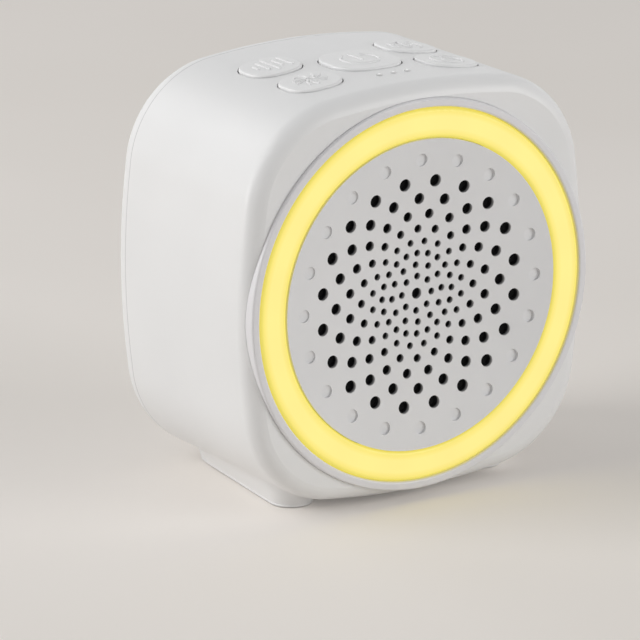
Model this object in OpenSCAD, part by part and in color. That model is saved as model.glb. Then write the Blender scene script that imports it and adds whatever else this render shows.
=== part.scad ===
// White noise sound machine. A rounded-square housing stands on two skids. Its front carries
// a dished speaker grille inside a lit ring, its top carries five keys, and its rear cover
// holds the main board with the charging socket.
// x points right, y back and z up. The front faces -y and the feet stand on z = 0.
// Depths named _w are measured towards the front from the middle of the object.

/* [View] */

/* [Body] */
// Width over the sides
body_w = 86; // [72:0.5:110]
// Height of the housing without its feet
body_h = 89.2; // [76:0.2:114]
// Depth of the housing from front plane to back plane
body_d = 54.4; // [48:0.2:80]
// Radius of the bowed sides
side_arc_r = 170; // [120:5:400]
// Radius of the bowed top and bottom
top_arc_r = 160; // [120:5:400]
// Corner radius seen from the front
corner_r = 23; // [16:0.5:30]
// Wall of both shells
wall = 2.2; // [1.6:0.1:3]
// Rounding of the front edge
front_round = 4; // [2.5:0.1:5]
// Rounding of the back edge
back_round = 5.8; // [4:0.1:8]
// Depth of the rear cover
cover_d = 6; // [5:0.1:12]
// Gap between housing and table
ground_gap = 1.2; // [0.8:0.1:4]
// Height of the cover's locating lip
lip_h = 2; // [1:0.1:4]
// Thickness of the locating lip
lip_t = 1.2; // [0.8:0.1:2]

/* [Bezel and lit ring] */
// Bezel set in from the sides
bezel_inset = 0.65; // [0.4:0.05:4]
// Bezel standing proud of the front plane
bezel_proud = 0.9; // [0.3:0.1:2]
// Width of the bezel's front lip
bezel_lip = 1.9; // [1.4:0.1:4]
// Wall of the bezel
bezel_wall = 1; // [0.8:0.1:2]
// Thickness of the bezel's front lip
bezel_lip_t = 1.55; // [1:0.05:3]
// Rounding of the bezel's front edges
bezel_round = 0.5; // [0.2:0.05:0.7]
// Depth of the bezel seat behind the front plane
seat_depth = 1.85; // [1.5:0.05:3]
// Lowering of the grille axis below the housing's middle
axis_drop = 1.05; // [0:0.05:3]
// Width of the lit ring's face
ring_face = 6.45; // [4:0.05:10]
// Lit ring below the bezel's front
ring_sunk = 0.15; // [0:0.05:1]
// Rounding of the lit ring's edges
ring_round = 0.8; // [0.2:0.1:1.2]
// Width of the lit ring's retaining flange
ring_flange = 0.9; // [0.6:0.1:2]
// Thickness of the retaining flange
ring_flange_t = 1; // [0.6:0.1:2]
// Depth of the lamp channel below the bezel seat
channel_depth = 4.4; // [3:0.1:8]
// Wall behind the lamp channel
channel_wall = 2; // [1.2:0.1:3]
// Number of lamps under the ring
lamp_count = 16; // [8:1:24]
// Side of a lamp
lamp_side = 2; // [1.5:0.1:3]
// Height of a lamp
lamp_h = 0.7; // [0.4:0.1:1.5]
// Thickness of the lamp board
lamp_board_t = 1; // [0.6:0.1:1.6]

/* [Grille] */
// Radius of the grille's dish
dish_r = 261.8; // [150:1:800]
// Depth of the dish's middle behind the front plane
dish_depth = 1.5; // [1:0.1:4]
// Thickness of the grille
grille_t = 1.8; // [1.2:0.1:3]
// Width of the grille's skirt
skirt_w = 1.8; // [1:0.1:3]
// Radius of the centre hole
centre_hole_r = 1.2; // [0.8:0.05:2]
// Radius of the holes of the outer ring
outer_hole_r = 1.37; // [0.9:0.01:1.8]
// Radius of the smallest holes
inner_hole_r = 0.76; // [0.5:0.01:0.95]
// Grille edge to the middle of the dimples
dimple_inset = 4.5; // [3:0.1:7]
// Middle of the dimples to the outer ring of holes
dimple_to_hole = 4.7; // [3.5:0.1:6]
// Radius of a dimple
dimple_r = 1.4; // [0.8:0.05:2]
// Depth of a dimple
dimple_depth = 0.5; // [0.2:0.05:1]
// Thickness of the dust cloth
cloth_t = 0.3; // [0.2:0.05:0.6]

/* [Keys] */
// Width of the power key
power_w = 16.2; // [12:0.1:18]
// Depth of the power key
power_d = 16.2; // [12:0.1:17]
// Corner radius of the power key
power_corner = 6.5; // [2:0.1:7]
// Width of the four outer keys
key_w = 12.6; // [10.5:0.1:13]
// Depth of the four outer keys
key_d = 12.2; // [10.5:0.1:13]
// Corner radius of the outer keys
key_corner = 5; // [1.5:0.1:5]
// Room between the flanges of the power key and of its neighbours
key_room = 0.7; // [0.3:0.1:1]
// Power key behind the front plane
key_setback = 23.2; // [23:0.1:34]
// Rear keys behind the power key
rear_row = 8.3; // [8:0.1:10]
// Front keys ahead of the power key
front_row = 7.1; // [7:0.1:7.5]
// Key tops above the housing
key_proud = 0.5; // [0.2:0.05:1.2]
// Rounding of the key tops
key_round = 0.45; // [0.1:0.05:0.5]
// Gap around each key
key_gap = 0.3; // [0.2:0.05:0.5]
// Key travel
key_travel = 0.5; // [0.3:0.05:0.8]
// Width of the retaining flange of a key
key_flange = 1; // [0.6:0.1:1.4]
// Thickness of the retaining flange of a key
key_flange_t = 1; // [0.6:0.1:1.4]
// Depth of the flat seat for a key's flange
key_seat = 0.12; // [0.05:0.01:0.4]
// Rest gap between flange and housing
key_rest = 0.35; // [0.3:0.05:0.6]
// Thickness of a key's top
key_top_t = 1.4; // [1:0.1:2]
// Wall of a key
key_wall = 1.3; // [0.9:0.1:2]
// Radius of a key's post
post_r = 1.6; // [1:0.1:2.4]
// Side of a switch
switch_side = 6; // [4:0.1:6.5]
// Height of a switch
switch_h = 2.5; // [2:0.1:3.5]
// Radius of a switch plunger
plunger_r = 1.5; // [1:0.1:2]
// Plunger standing out of its switch
plunger_out = 0.8; // [0.7:0.1:2]
// Switch board below the housing's top
board_drop = 8.3; // [7.8:0.1:12]
// Room around the switch board's pillars
pillar_room = 1; // [0.8:0.1:1.2]
// Switch board beyond the outer switches
board_margin = 1.4; // [0.5:0.1:3]
// Dots from each other
dot_pitch = 3.5; // [2.5:0.1:5]
// Dots ahead of the power key
dot_row = 12.5; // [10:0.1:14]
// Radius of a dot
dot_r = 0.65; // [0.4:0.05:1]
// Dots above the housing
dot_proud = 0.3; // [0.1:0.05:0.6]

/* [Feet] */
// Width of a skid where it stands
skid_w = 9; // [6:0.1:12]
// Skid's front end from the middle plane
skid_x = 24.2; // [18:0.1:30]
// Skid's round front end behind the front plane
skid_setback = 12.9; // [8:0.1:20]
// Angle by which the skids close towards the back
skid_toe = 6; // [0:0.5:14]
// Skid's back end ahead of the seam
skid_stop = 1.5; // [0.5:0.1:5]
// Draft angle of the skid's sides
skid_draft = 15; // [2:1:30]
// Radius of a foot pad
pad_r = 3; // [2:0.1:4]
// Thickness of a foot pad
pad_t = 0.9; // [0.5:0.1:1.1]
// Foot pad standing out of its skid
pad_proud = 0.25; // [0.1:0.05:0.5]
// Rear foot pad behind the front one
pad_pitch = 28; // [18:0.5:29]

/* [Speaker] */
// Gap between the speaker's flange and the lamp channel
speaker_margin = 3.9; // [3.6:0.1:6]
// Thickness of the front baffle
baffle_t = 2; // [1.4:0.1:3]
// Width of the flange's seat on the baffle
flange_seat = 3; // [2:0.1:4]
// Thickness of the gasket
gasket_t = 0.8; // [0.4:0.1:1.5]
// Thickness of the speaker's flange
flange_t = 1; // [0.8:0.1:2]
// Sheet of the basket
basket_t = 0.8; // [0.6:0.1:1.2]
// Depth of the basket behind its flange
basket_d = 10.2; // [9:0.1:14]
// Radius of the basket's floor
basket_floor_r = 17; // [14:0.1:20]
// Width of the rolled surround
surround_w = 3.7; // [2.5:0.1:5]
// Thickness of cone, cap, spider and surround
cone_t = 0.4; // [0.3:0.05:0.6]
// Radius of the voice coil's former
coil_r = 6.4; // [5:0.1:8]
// Wall of the voice coil
coil_t = 0.35; // [0.3:0.05:0.5]
// Radius of the magnet
magnet_r = 16; // [12:0.1:16.5]
// Thickness of the magnet
magnet_t = 7; // [4:0.1:8]
// Thickness of the steel plates
plate_t = 2; // [1.5:0.1:3]
// Travel of the cone each way
cone_travel = 1; // [0.5:0.1:1.2]

/* [Battery and boards] */
// Battery's sides beyond the middles of the housing's lower corners
battery_reach = 5.4; // [2:0.1:5.6]
// Room between the battery and the main board's screws
battery_room = 0.95; // [0.5:0.05:4]
// Thickness of the battery
battery_t = 9; // [6:0.1:10]
// Underside of the battery above the housing's bottom
battery_lift = 5.5; // [5:0.1:7]
// Battery's front end behind the lamp channel
battery_setback = 2.25; // [1:0.05:6]
// Gap between the main board and the cover's screw bosses
main_gap = 0.86; // [0.4:0.02:4]
// Height of the main board
main_h = 36; // [28:0.5:40]
// Underside of the main board above the housing's bottom
main_lift = 12; // [10:0.1:20]
// Thickness of the boards
board_t = 1.6; // [1:0.1:2]
// Side of the control chip
chip_side = 9; // [5:0.5:11]
// Thickness of the control chip
chip_t = 1.2; // [0.8:0.1:2]
// Control chip left of the main board's middle
chip_left = 9.5; // [6:0.5:12]
// Control chip above the main board's middle
chip_up = 6.5; // [0:0.5:7]
// Width of the amplifier chip
amp_w = 5; // [3:0.5:6]
// Height of the amplifier chip
amp_h = 6; // [4:0.5:7]
// Thickness of the amplifier chip
amp_t = 1.4; // [0.8:0.1:2]
// Amplifier chip right of the main board's middle
amp_right = 8.5; // [5:0.5:12]
// Amplifier chip above the main board's middle
amp_up = 6; // [0:0.5:7]
// Width of a connector
plug_w = 6; // [4:0.5:8]
// Height of a connector
plug_h = 4.5; // [3:0.5:5]
// Depth of a connector
plug_t = 5; // [3:0.5:6]
// Wall of a connector
plug_wall = 0.7; // [0.4:0.1:1]
// Floor of a connector
plug_floor = 1.2; // [0.6:0.1:2]
// Connectors from each other
plug_pitch = 10; // [8.5:0.5:14]
// Connectors below the main board's upper edge
plug_drop = 2.5; // [1:0.5:4]
// Width of the charging socket
socket_w = 8.94; // [8:0.01:10]
// Height of the charging socket
socket_h = 3.26; // [3:0.01:4]
// Length of the charging socket
socket_l = 6.8; // [6:0.1:7.5]
// Charging socket above the lower edge of the main board
socket_lift = 6; // [4:0.1:10]
// Gap around the charging socket
socket_gap = 0.33; // [0.2:0.01:0.6]

/* [Fasteners and fits] */
// Radius of the rear cover's screw bosses
boss_r = 3.5; // [3:0.1:4]
// Screw bosses set in from the corner arcs
boss_inset = 7.75; // [7:0.05:9]
// Radius of a cover screw's shank
screw_r = 1.25; // [1:0.05:1.5]
// Radius of a cover screw's head
screw_head_r = 2.4; // [2:0.1:2.8]
// Height of a cover screw's head
screw_head_h = 1.8; // [1.2:0.1:2.2]
// Length of a cover screw below its head
screw_l = 10; // [7:0.5:16]
// Depth of the screw recesses
recess_d = 3; // [2.2:0.1:3.4]
// Radius of a small screw's shank
small_r = 0.9; // [0.7:0.05:1.1]
// Radius of a small screw's head
small_head_r = 2; // [1.6:0.1:2.2]
// Height of a small screw's head
small_head_h = 1.2; // [0.8:0.1:1.6]
// Length of a small screw below its head
small_l = 4.5; // [3.5:0.1:5]
// Gap between parts that fit into each other
fit = 0.15; // [0.05:0.05:0.25]
// Gap around screws in their bores
bore_gap = 0.05; // [0.02:0.01:0.1]

/* [Hidden] */
$fn = 64;
big_fn = 360;
dish_fn = 900;
eps = 1;
seat_gap = 0.05;

// overall places
shell_z = ground_gap + body_h / 2;
top_z = ground_gap + body_h;
front_w = (body_d - bezel_proud) / 2;
back_w = front_w - body_d;
seam_w = back_w + cover_d;
axis_z = shell_z - axis_drop;
back_edge = min(back_round, cover_d - 0.2);

// outline: four bowed sides joined by four corner arcs that run on tangent to them
side_mid = side_arc_r - body_w / 2;
top_mid = top_arc_r - body_h / 2;
side_reach = side_arc_r - corner_r;
top_reach = top_arc_r - corner_r;
mid_gap = norm([side_mid, top_mid]);
reach_along = (pow(side_reach, 2) - pow(top_reach, 2) + pow(mid_gap, 2)) / (2 * mid_gap);
reach_across = sqrt(pow(side_reach, 2) - pow(reach_along, 2));
corner_x = (reach_along * side_mid + reach_across * top_mid) / mid_gap - side_mid;
corner_y = (reach_across * side_mid - reach_along * top_mid) / mid_gap;
side_angle = asin(corner_y / side_reach);
top_angle = acos(corner_x / top_reach);
core_lap = 1;
// the corner arcs stand this far out of the bowed sides, so that they meet in a clean line
arc_lap = 0.03;
// the bowed sides end inside the corner arcs, this far before the tangent point
arc_short = 0.4;
side_end = side_angle - asin(arc_short / side_arc_r);
top_end = top_angle + asin(arc_short / top_arc_r);
// angle at which the edge roundings meet the front and back planes
edge_angle = 10;

// front stack, radii from the sides inwards and depths from the front plane back
bezel_r = body_w / 2 - bezel_inset;
bezel_front_w = front_w + bezel_proud;
seat_w = front_w - seat_depth;
lip_back_w = bezel_front_w - bezel_lip_t;
ring_r = bezel_r - bezel_lip - fit;
ring_in_r = ring_r - ring_face;
ring_front_w = bezel_front_w - ring_sunk;
ring_back_w = seat_w + seat_gap;
flange_r = min(ring_r + ring_flange, bezel_r - bezel_wall - fit);
ledge_r = ring_r - 0.1;
grille_r = ring_in_r - fit;
channel_in_r = grille_r + 0.2;
channel_floor_w = seat_w - channel_depth;
channel_back_w = channel_floor_w - channel_wall;
ring_wall_r = bezel_r + 0.85;
skirt_in_r = grille_r - skirt_w;
bore_wall_r = skirt_in_r - 0.2;
baffle_w = seat_w - 1.4;
baffle_back_w = baffle_w - baffle_t;
dish_w = front_w - dish_depth;

// hole pattern of the grille: ring radius as a share of the outer ring, holes, size step, turn
dimple_ring_r = grille_r - dimple_inset;
hole_field_r = dimple_ring_r - dimple_to_hole;
hole_rings = [
    [0.1527, 8, 0, -1.6],
    [0.2559, 12, 0, 2.95],
    [0.3584, 20, 0, 0],
    [0.4616, 20, 0, 9],
    [0.5767, 20, 0.25, 0],
    [0.7053, 20, 0.52, 9],
    [0.8465, 20, 0.77, 0],
    [1, 20, 1, 9]];
dimple_count = 20;

// keys
key_x = (power_w + key_w) / 2 + 2 * key_flange + key_room;
power_at_w = front_w - key_setback;
rear_key_w = power_at_w - rear_row;
front_key_w = power_at_w + front_row;
dot_w = power_at_w + dot_row;
top_axis_z = top_z - top_arc_r;
board_top_z = top_z - board_drop;
switch_top_z = board_top_z + switch_h;
plunger_top_z = switch_top_z + plunger_out;
plunger_in = 0.6;
pocket_d = plunger_in + key_travel + 0.4;
well_gap = (key_room + 0.6) / 2;
pillar_r = 1.9;
pillar_off = key_flange + pillar_room + pillar_r;
// side and depth of the front and of the rear pillars
pillar_places = [
    [key_x - key_w / 2 - pillar_off, power_at_w + power_d / 2 + pillar_off],
    [key_x, rear_key_w - key_d / 2 - pillar_off]];
switch_board_w = 2 * key_x + switch_side + 2 * board_margin;
switch_board_front_w = channel_back_w - 0.5;
switch_board_back_w = pillar_places[1][1] - pillar_r - 0.6;

// speaker
speaker_r = bore_wall_r - speaker_margin;
opening_r = speaker_r - flange_seat;
flange_front_w = baffle_back_w - gasket_t;
flange_back_w = flange_front_w - flange_t;
basket_back_w = flange_back_w - basket_d;
plate_back_w = basket_back_w - basket_t - plate_t;
magnet_back_w = plate_back_w - magnet_t;
yoke_back_w = magnet_back_w - plate_t;
cone_r = opening_r - surround_w - 0.6;
cone_gap = 0.3;
cone_front_w = flange_front_w - 0.3 - cone_travel;
spider_w = basket_back_w + 1.1;
cone_back_w = spider_w + 1.3 + cone_travel;
cap_r = coil_r + 1.4;
cap_w = cone_back_w + 0.75;
speaker_screw_at = speaker_r + 1.8;
speaker_boss_r = 1.7;
speaker_head_r = 2.5;

// screws
boss_reach = corner_r - boss_inset;
boss_x = corner_x + boss_reach * cos((side_angle + top_angle) / 2);
boss_y = corner_y + boss_reach * sin((side_angle + top_angle) / 2);
recess_r = screw_head_r + 0.3;
cover_boss_r = boss_r + 1.5;

// battery, boards and socket
battery_w = 2 * (corner_x + battery_reach);
battery_front_w = channel_back_w - battery_setback;
battery_z = ground_gap + battery_lift;
tape_t = 0.5;
rib_t = 1.2;
main_w = 2 * (boss_x - boss_r - main_gap);
main_z = ground_gap + main_lift;
main_post_r = 2.6;
main_post_in = 3.6;
socket_z = main_z + socket_lift;
socket_back_w = back_w + 1.35;
main_back_w = socket_back_w + socket_l;
main_front_w = main_back_w + board_t;
socket_sheet = 0.3;
battery_d = battery_front_w - main_front_w - small_head_h - battery_room;

// feet
skid_front_w = front_w - skid_setback;
skid_top = 7;
skid_l = body_d;

// colours
c_white = [0.88, 0.88, 0.88];
c_key = [0.84, 0.84, 0.84];
c_grille = [0.78, 0.78, 0.79];
c_glow = [1, 0.95, 0.55];
c_dark = [0.12, 0.12, 0.13];
c_board = [0.1, 0.35, 0.22];
c_steel = [0.7, 0.7, 0.72];
c_paper = [0.2, 0.2, 0.2];
c_copper = [0.72, 0.42, 0.2];
c_rubber = [0.2, 0.2, 0.2];
c_clear = [0.85, 0.87, 0.9];
c_cell = [0.6, 0.62, 0.68];

// frames

// x right, y up, z towards the front, from the housing's middle
module facing() {
    translate([0, 0, shell_z]) rotate([90, 0, 0]) children();
}

// the same on the grille's axis
module on_axis() {
    translate([0, 0, axis_z]) rotate([90, 0, 0]) children();
}

// on the arc of the top above x, z out of the surface
module at_top(x, w) {
    translate([0, -w, top_axis_z])
        rotate([0, asin(x / top_arc_r), 0])
            translate([0, 0, top_arc_r]) children();
}

// four screw places around the housing's middle
module at_bosses() {
    for (mx = [0, 1], my = [0, 1])
        mirror([mx, 0, 0]) mirror([0, my, 0]) translate([boss_x, boss_y, 0]) children();
}

// four places of the main board's posts, from the housing's middle
module at_main_posts() {
    for (sx = [-1, 1], z = [main_post_in, main_h - main_post_in])
        translate([sx * (main_w / 2 - main_post_in), main_z + z - shell_z, 0]) children();
}

// four places of the switch board's pillars
module at_pillars() {
    for (sx = [-1, 1], p = pillar_places)
        translate([sx * p[0], -p[1], 0]) children();
}

// profiles

// quarter disc in the first quadrant
module quarter(r) {
    intersection() {
        circle(r = r);
        square([r, r]);
    }
}

// strip from the axis with its upper outer corner rounded
module edge_profile(r_out, z_lo, z_hi, r) {
    translate([0, z_lo]) square([r_out, z_hi - z_lo - r]);
    translate([0, z_hi - r]) square([r_out - r, r]);
    translate([r_out - r, z_hi - r]) quarter(r);
}

// how far a blank is left longer than its end plane, where it is rounded or plain
function spare(round) = round > 0 ? round * (1 - cos(edge_angle)) / 2 : eps;

// section through the housing's blank: each rounding crosses its end plane at a slight angle
module blank_profile(r_in, r_out, z_lo, z_hi, round_lo, round_hi) {
    rise_lo = round_lo * cos(edge_angle);
    rise_hi = round_hi * cos(edge_angle);
    low = z_lo - spare(round_lo);
    high = z_hi + spare(round_hi);
    intersection() {
        union() {
            translate([r_in, z_lo + rise_lo])
                square([r_out - r_in, (round_hi > 0 ? z_hi - rise_hi : high) - z_lo - rise_lo]);
            if (round_lo == 0)
                translate([r_in, low]) square([r_out - r_in, eps + z_hi - z_lo - rise_hi]);
            translate([r_in, low]) square([r_out - r_in - max(round_lo, round_hi), high - low]);
            if (round_lo > 0)
                translate([r_out - round_lo, z_lo + rise_lo]) circle(r = round_lo);
            if (round_hi > 0)
                translate([r_out - round_hi, z_hi - rise_hi]) circle(r = round_hi);
        }
        translate([r_in, low]) square([r_out - r_in, high - low]);
    }
}

// rectangle with both upper corners rounded
module round_top(x0, x1, y0, y1, r) {
    translate([x0, y0]) square([x1 - x0, y1 - y0 - r]);
    translate([x0 + r, y1 - r]) square([x1 - x0 - 2 * r, r]);
    translate([x1 - r, y1 - r]) quarter(r);
    translate([x0 + r, y1 - r]) mirror([1, 0]) quarter(r);
}

// forms

// closed form of the housing's outline, set in by inset, from z_lo to z_hi
module shell_form(inset, z_lo, z_hi, round_lo, round_hi) {
    intersection() {
        shell_blank(inset, z_lo, z_hi, round_lo, round_hi);
        translate([-body_w, -body_h, z_lo]) cube([2 * body_w, 2 * body_h, z_hi - z_lo]);
    }
}

// the same, a little longer at both ends
module shell_blank(inset, z_lo, z_hi, round_lo, round_hi) {
    for (sx = [-1, 1], sy = [-1, 1])
        translate([sx * corner_x, sy * corner_y, 0])
            rotate_extrude($fn = big_fn / 2)
                blank_profile(0, corner_r + arc_lap - inset, z_lo, z_hi, round_lo, round_hi);
    for (turn = [0, 180]) {
        rotate([0, 0, turn]) translate([-side_mid, 0, 0]) rotate([0, 0, -side_end])
            rotate_extrude(angle = 2 * side_end, $fn = big_fn)
                blank_profile(side_reach - corner_r / 3,
                    side_arc_r - inset, z_lo, z_hi, round_lo, round_hi);
        rotate([0, 0, turn]) translate([0, -top_mid, 0]) rotate([0, 0, top_end])
            rotate_extrude(angle = 180 - 2 * top_end, $fn = big_fn)
                blank_profile(top_reach - corner_r / 3,
                    top_arc_r - inset, z_lo, z_hi, round_lo, round_hi);
    }
    translate([core_lap - corner_x, core_lap - corner_y, z_lo - spare(round_lo)])
        cube([2 * (corner_x - core_lap), 2 * (corner_y - core_lap),
            z_hi - z_lo + spare(round_lo) + spare(round_hi)]);
}

// plan of the housing's outline, set in by inset
module outline(inset) {
    for (sx = [-1, 1], sy = [-1, 1])
        translate([sx * corner_x, sy * corner_y]) circle(r = corner_r + arc_lap - inset);
    for (turn = [0, 180]) {
        rotate(turn) translate([-side_mid, 0]) intersection() {
            circle(r = side_arc_r - inset, $fn = big_fn);
            wedge(side_reach - corner_r / 3, side_arc_r + corner_r, side_end);
        }
        rotate(turn) translate([0, -top_mid]) intersection() {
            circle(r = top_arc_r - inset, $fn = big_fn);
            rotate(90) wedge(top_reach - corner_r / 3, top_arc_r + corner_r, 90 - top_end);
        }
    }
    square([2 * (corner_x - core_lap), 2 * (corner_y - core_lap)], center = true);
}

// flat-ended wedge around the x axis, angle to each side
module wedge(r_in, r_out, angle) {
    polygon([
        [r_in * cos(angle), -r_in * sin(angle)],
        [r_out * cos(angle), -r_out * sin(angle)],
        [r_out * cos(angle), r_out * sin(angle)],
        [r_in * cos(angle), r_in * sin(angle)]]);
}

// rounded-square block with its top edge rounded
module pad(sx, sy, rc, z0, z1, er) {
    rotate([90, 0, 0])
        linear_extrude(sy - 2 * rc, center = true) round_top(-sx / 2, sx / 2, z0, z1, er);
    rotate([90, 0, 90])
        linear_extrude(sx - 2 * rc, center = true) round_top(-sy / 2, sy / 2, z0, z1, er);
    for (mx = [0, 1], my = [0, 1])
        mirror([mx, 0, 0]) mirror([0, my, 0]) translate([sx / 2 - rc, sy / 2 - rc, 0])
            rotate_extrude(angle = 90) edge_profile(rc, z0, z1, er);
}

// rounded-square block with sharp edges
module block(sx, sy, rc, z0, z1) {
    translate([0, 0, z0])
        linear_extrude(z1 - z0) {
            square([sx, sy - 2 * rc], center = true);
            square([sx - 2 * rc, sy], center = true);
            for (mx = [-1, 1], my = [-1, 1])
                translate([mx * (sx / 2 - rc), my * (sy / 2 - rc)]) circle(r = rc);
        }
}

// ring around z
module tube(r_out, r_in, z0, z1) {
    translate([0, 0, z0])
        linear_extrude(z1 - z0) difference() {
            circle(r = r_out);
            circle(r = r_in);
        }
}

// screw with a cross in its head, the head's seat at z = 0 and the head above it
module screw(shank_r, shank_l, head_r, head_h) {
    difference() {
        union() {
            cylinder(r = head_r, h = head_h);
            translate([0, 0, -shank_l]) cylinder(r = shank_r, h = shank_l + head_h / 2);
        }
        for (a = [0, 90])
            rotate([0, 0, a])
                translate([-head_r * 0.6, -head_r * 0.12, head_h * 0.5])
                    cube([head_r * 1.2, head_r * 0.24, head_h]);
    }
}

// housing

// runner under one side, cut off ahead of the seam
module skid() {
    rise = skid_top - pad_proud;
    flare = rise * tan(skid_draft);
    intersection() {
        translate([skid_x, -skid_front_w, pad_proud]) rotate([0, 0, skid_toe]) {
            cylinder(r1 = skid_w / 2, r2 = skid_w / 2 + flare, h = rise);
            rotate([-90, 0, 0])
                linear_extrude(skid_l)
                    polygon([
                        [-skid_w / 2, 0],
                        [skid_w / 2, 0],
                        [skid_w / 2 + flare, -rise],
                        [-skid_w / 2 - flare, -rise]]);
        }
        translate([0, -body_d, 0]) cube([body_w, body_d - seam_w - skid_stop, body_h]);
    }
}

// places of the foot pads on both skids
module at_pads() {
    for (mx = [0, 1])
        mirror([mx, 0, 0])
            translate([skid_x, -skid_front_w, 0]) rotate([0, 0, skid_toe])
                for (back = [0, pad_pitch])
                    translate([0, back, 0]) children();
}

// room inside the front housing, without the ring wall that carries the lit ring
module front_room() {
    difference() {
        facing() shell_form(wall, seam_w - eps, front_w - wall, 0, front_round - wall);
        on_axis() translate([0, 0, channel_back_w]) cylinder(r = ring_wall_r, h = body_d, $fn = big_fn / 2);
    }
}

// stepped bore: speaker opening, grille recess, lamp channel and bezel seat
module front_bore() {
    rotate_extrude($fn = big_fn / 2)
        polygon([
            [0, baffle_back_w - eps],
            [opening_r, baffle_back_w - eps],
            [opening_r, baffle_w],
            [channel_in_r, baffle_w],
            [channel_in_r, channel_floor_w],
            [ledge_r, channel_floor_w],
            [ledge_r, seat_w],
            [bezel_r + bore_gap, seat_w],
            [bezel_r + bore_gap, front_w + eps],
            [0, front_w + eps]]);
}

// opening of one key through the top
module key_opening(x, w, sx, sy, rc) {
    at_top(x, w)
        block(sx + 2 * key_gap, sy + 2 * key_gap, rc + key_gap, -wall - eps, eps);
}

// room for one key's flange, with a flat seat inside the top
module key_well(x, w, sx, sy, rc) {
    side = 2 * (key_flange + well_gap);
    at_top(x, w)
        block(sx + side, sy + side, rc + side / 2,
            -wall - key_rest - key_flange_t - key_travel - 0.5, key_seat - wall);
}

// ribs that carry the battery and keep it in place
module battery_cradle() {
    seat_z = battery_z - tape_t;
    middle_w = battery_front_w - battery_d / 2;
    for (s = [-1, 1])
        translate([-battery_w / 2, -middle_w + s * battery_d * 0.3 - rib_t / 2, ground_gap + wall - 0.3])
            cube([battery_w, rib_t, seat_z - ground_gap - wall + 0.3]);
    for (s = [-1, 1])
        translate([s * (battery_w / 2 + fit + rib_t / 2) - rib_t / 2, -middle_w - battery_d * 0.3, seat_z - 1.4])
            cube([rib_t, battery_d * 0.6, battery_t * 0.5 + 1.4]);
}

module front_housing() {
    color(c_white) difference() {
        union() {
            difference() {
                union() {
                    facing() shell_form(0, seam_w, front_w, 0, front_round);
                    skid();
                    mirror([1, 0, 0]) skid();
                }
                front_room();
            }
            facing() at_bosses()
                translate([0, 0, seam_w]) cylinder(r = boss_r, h = front_w - wall - seam_w + 0.3);
            for (sx = [-1, 1], p = pillar_places)
                translate([sx * p[0], -p[1], board_top_z])
                    cylinder(r = pillar_r, h = top_at(p[0]) - wall * 0.75 - board_top_z);
            battery_cradle();
        }
        on_axis() front_bore();
        on_axis() difference() {
            translate([0, 0, channel_back_w - eps])
                cylinder(r = bore_wall_r, h = baffle_back_w - channel_back_w + eps);
            for (a = [45 : 90 : 315])
                rotate([0, 0, a])
                    translate([speaker_screw_at, 0, flange_back_w])
                        cylinder(r = speaker_boss_r, h = baffle_t + gasket_t + flange_t + eps);
        }
        on_axis()
            for (a = [45 : 90 : 315])
                rotate([0, 0, a]) translate([speaker_screw_at, 0, flange_back_w]) {
                    translate([0, 0, -eps]) cylinder(r = small_r + bore_gap, h = eps + small_l - 0.9);
                    translate([0, 0, -2 * eps - small_head_h])
                        cylinder(r = speaker_head_r + fit, h = 2 * eps + small_head_h);
                }
        facing() at_bosses()
            translate([0, 0, seam_w - eps])
                cylinder(r = screw_r + bore_gap, h = eps + screw_l - (cover_d - recess_d) + 1);
        at_pillars()
            translate([0, 0, board_top_z - eps])
                cylinder(r = small_r + bore_gap, h = eps + small_l - board_t + 0.4);
        key_opening(0, power_at_w, power_w, power_d, power_corner);
        key_well(0, power_at_w, power_w, power_d, power_corner);
        for (s = [-1, 1], w = [rear_key_w, front_key_w]) {
            key_opening(s * key_x, w, key_w, key_d, key_corner);
            key_well(s * key_x, w, key_w, key_d, key_corner);
        }
        for (s = [-1 : 1])
            translate([s * dot_pitch, -dot_w, top_z - wall - eps])
                cylinder(r = dot_r + bore_gap, h = wall + 2 * eps);
        at_pads()
            translate([0, 0, -eps]) cylinder(r = pad_r + bore_gap, h = eps + pad_t + bore_gap);
    }
}

module rear_cover() {
    inner = wall + fit + lip_t;
    color(c_white) facing() difference() {
        union() {
            difference() {
                shell_form(0, back_w, seam_w, back_edge, 0);
                translate([0, 0, back_w + wall]) linear_extrude(cover_d) outline(inner);
            }
            translate([0, 0, seam_w - wall / 2])
                linear_extrude(lip_h + wall / 2) difference() {
                    outline(wall + fit);
                    outline(inner);
                }
            at_bosses()
                translate([0, 0, back_w + wall / 2])
                    cylinder(r = cover_boss_r, h = cover_d - wall / 2);
            at_main_posts()
                translate([0, 0, back_w + wall / 2])
                    cylinder(r = main_post_r, h = main_back_w - back_w - wall / 2);
        }
        at_bosses() {
            translate([0, 0, back_w - eps]) cylinder(r = recess_r, h = recess_d + eps);
            translate([0, 0, back_w]) cylinder(r = screw_r + 0.25, h = cover_d + eps);
        }
        at_main_posts()
            translate([0, 0, main_back_w - small_l + board_t - 0.3])
                cylinder(r = small_r + bore_gap, h = small_l + eps);
        translate([0, socket_z - shell_z, 0])
            block(socket_w + 2 * socket_gap, socket_h + 2 * socket_gap,
                socket_h / 2 + socket_gap - 0.01, back_w - eps, back_w + wall + eps);
    }
}

// front stack

module bezel_ring() {
    color(c_white) on_axis()
        rotate_extrude($fn = big_fn / 2) {
            translate([bezel_r - bezel_wall, seat_w])
                square([bezel_wall, lip_back_w - seat_w]);
            round_top(bezel_r - bezel_lip, bezel_r, lip_back_w, bezel_front_w, bezel_round);
        }
}

module light_ring() {
    color(c_glow) on_axis()
        rotate_extrude($fn = big_fn / 2) {
            round_top(ring_in_r, ring_r, ring_back_w, ring_front_w, ring_round);
            translate([ring_r, ring_back_w])
                square([flange_r - ring_r, ring_flange_t]);
        }
}

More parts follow.
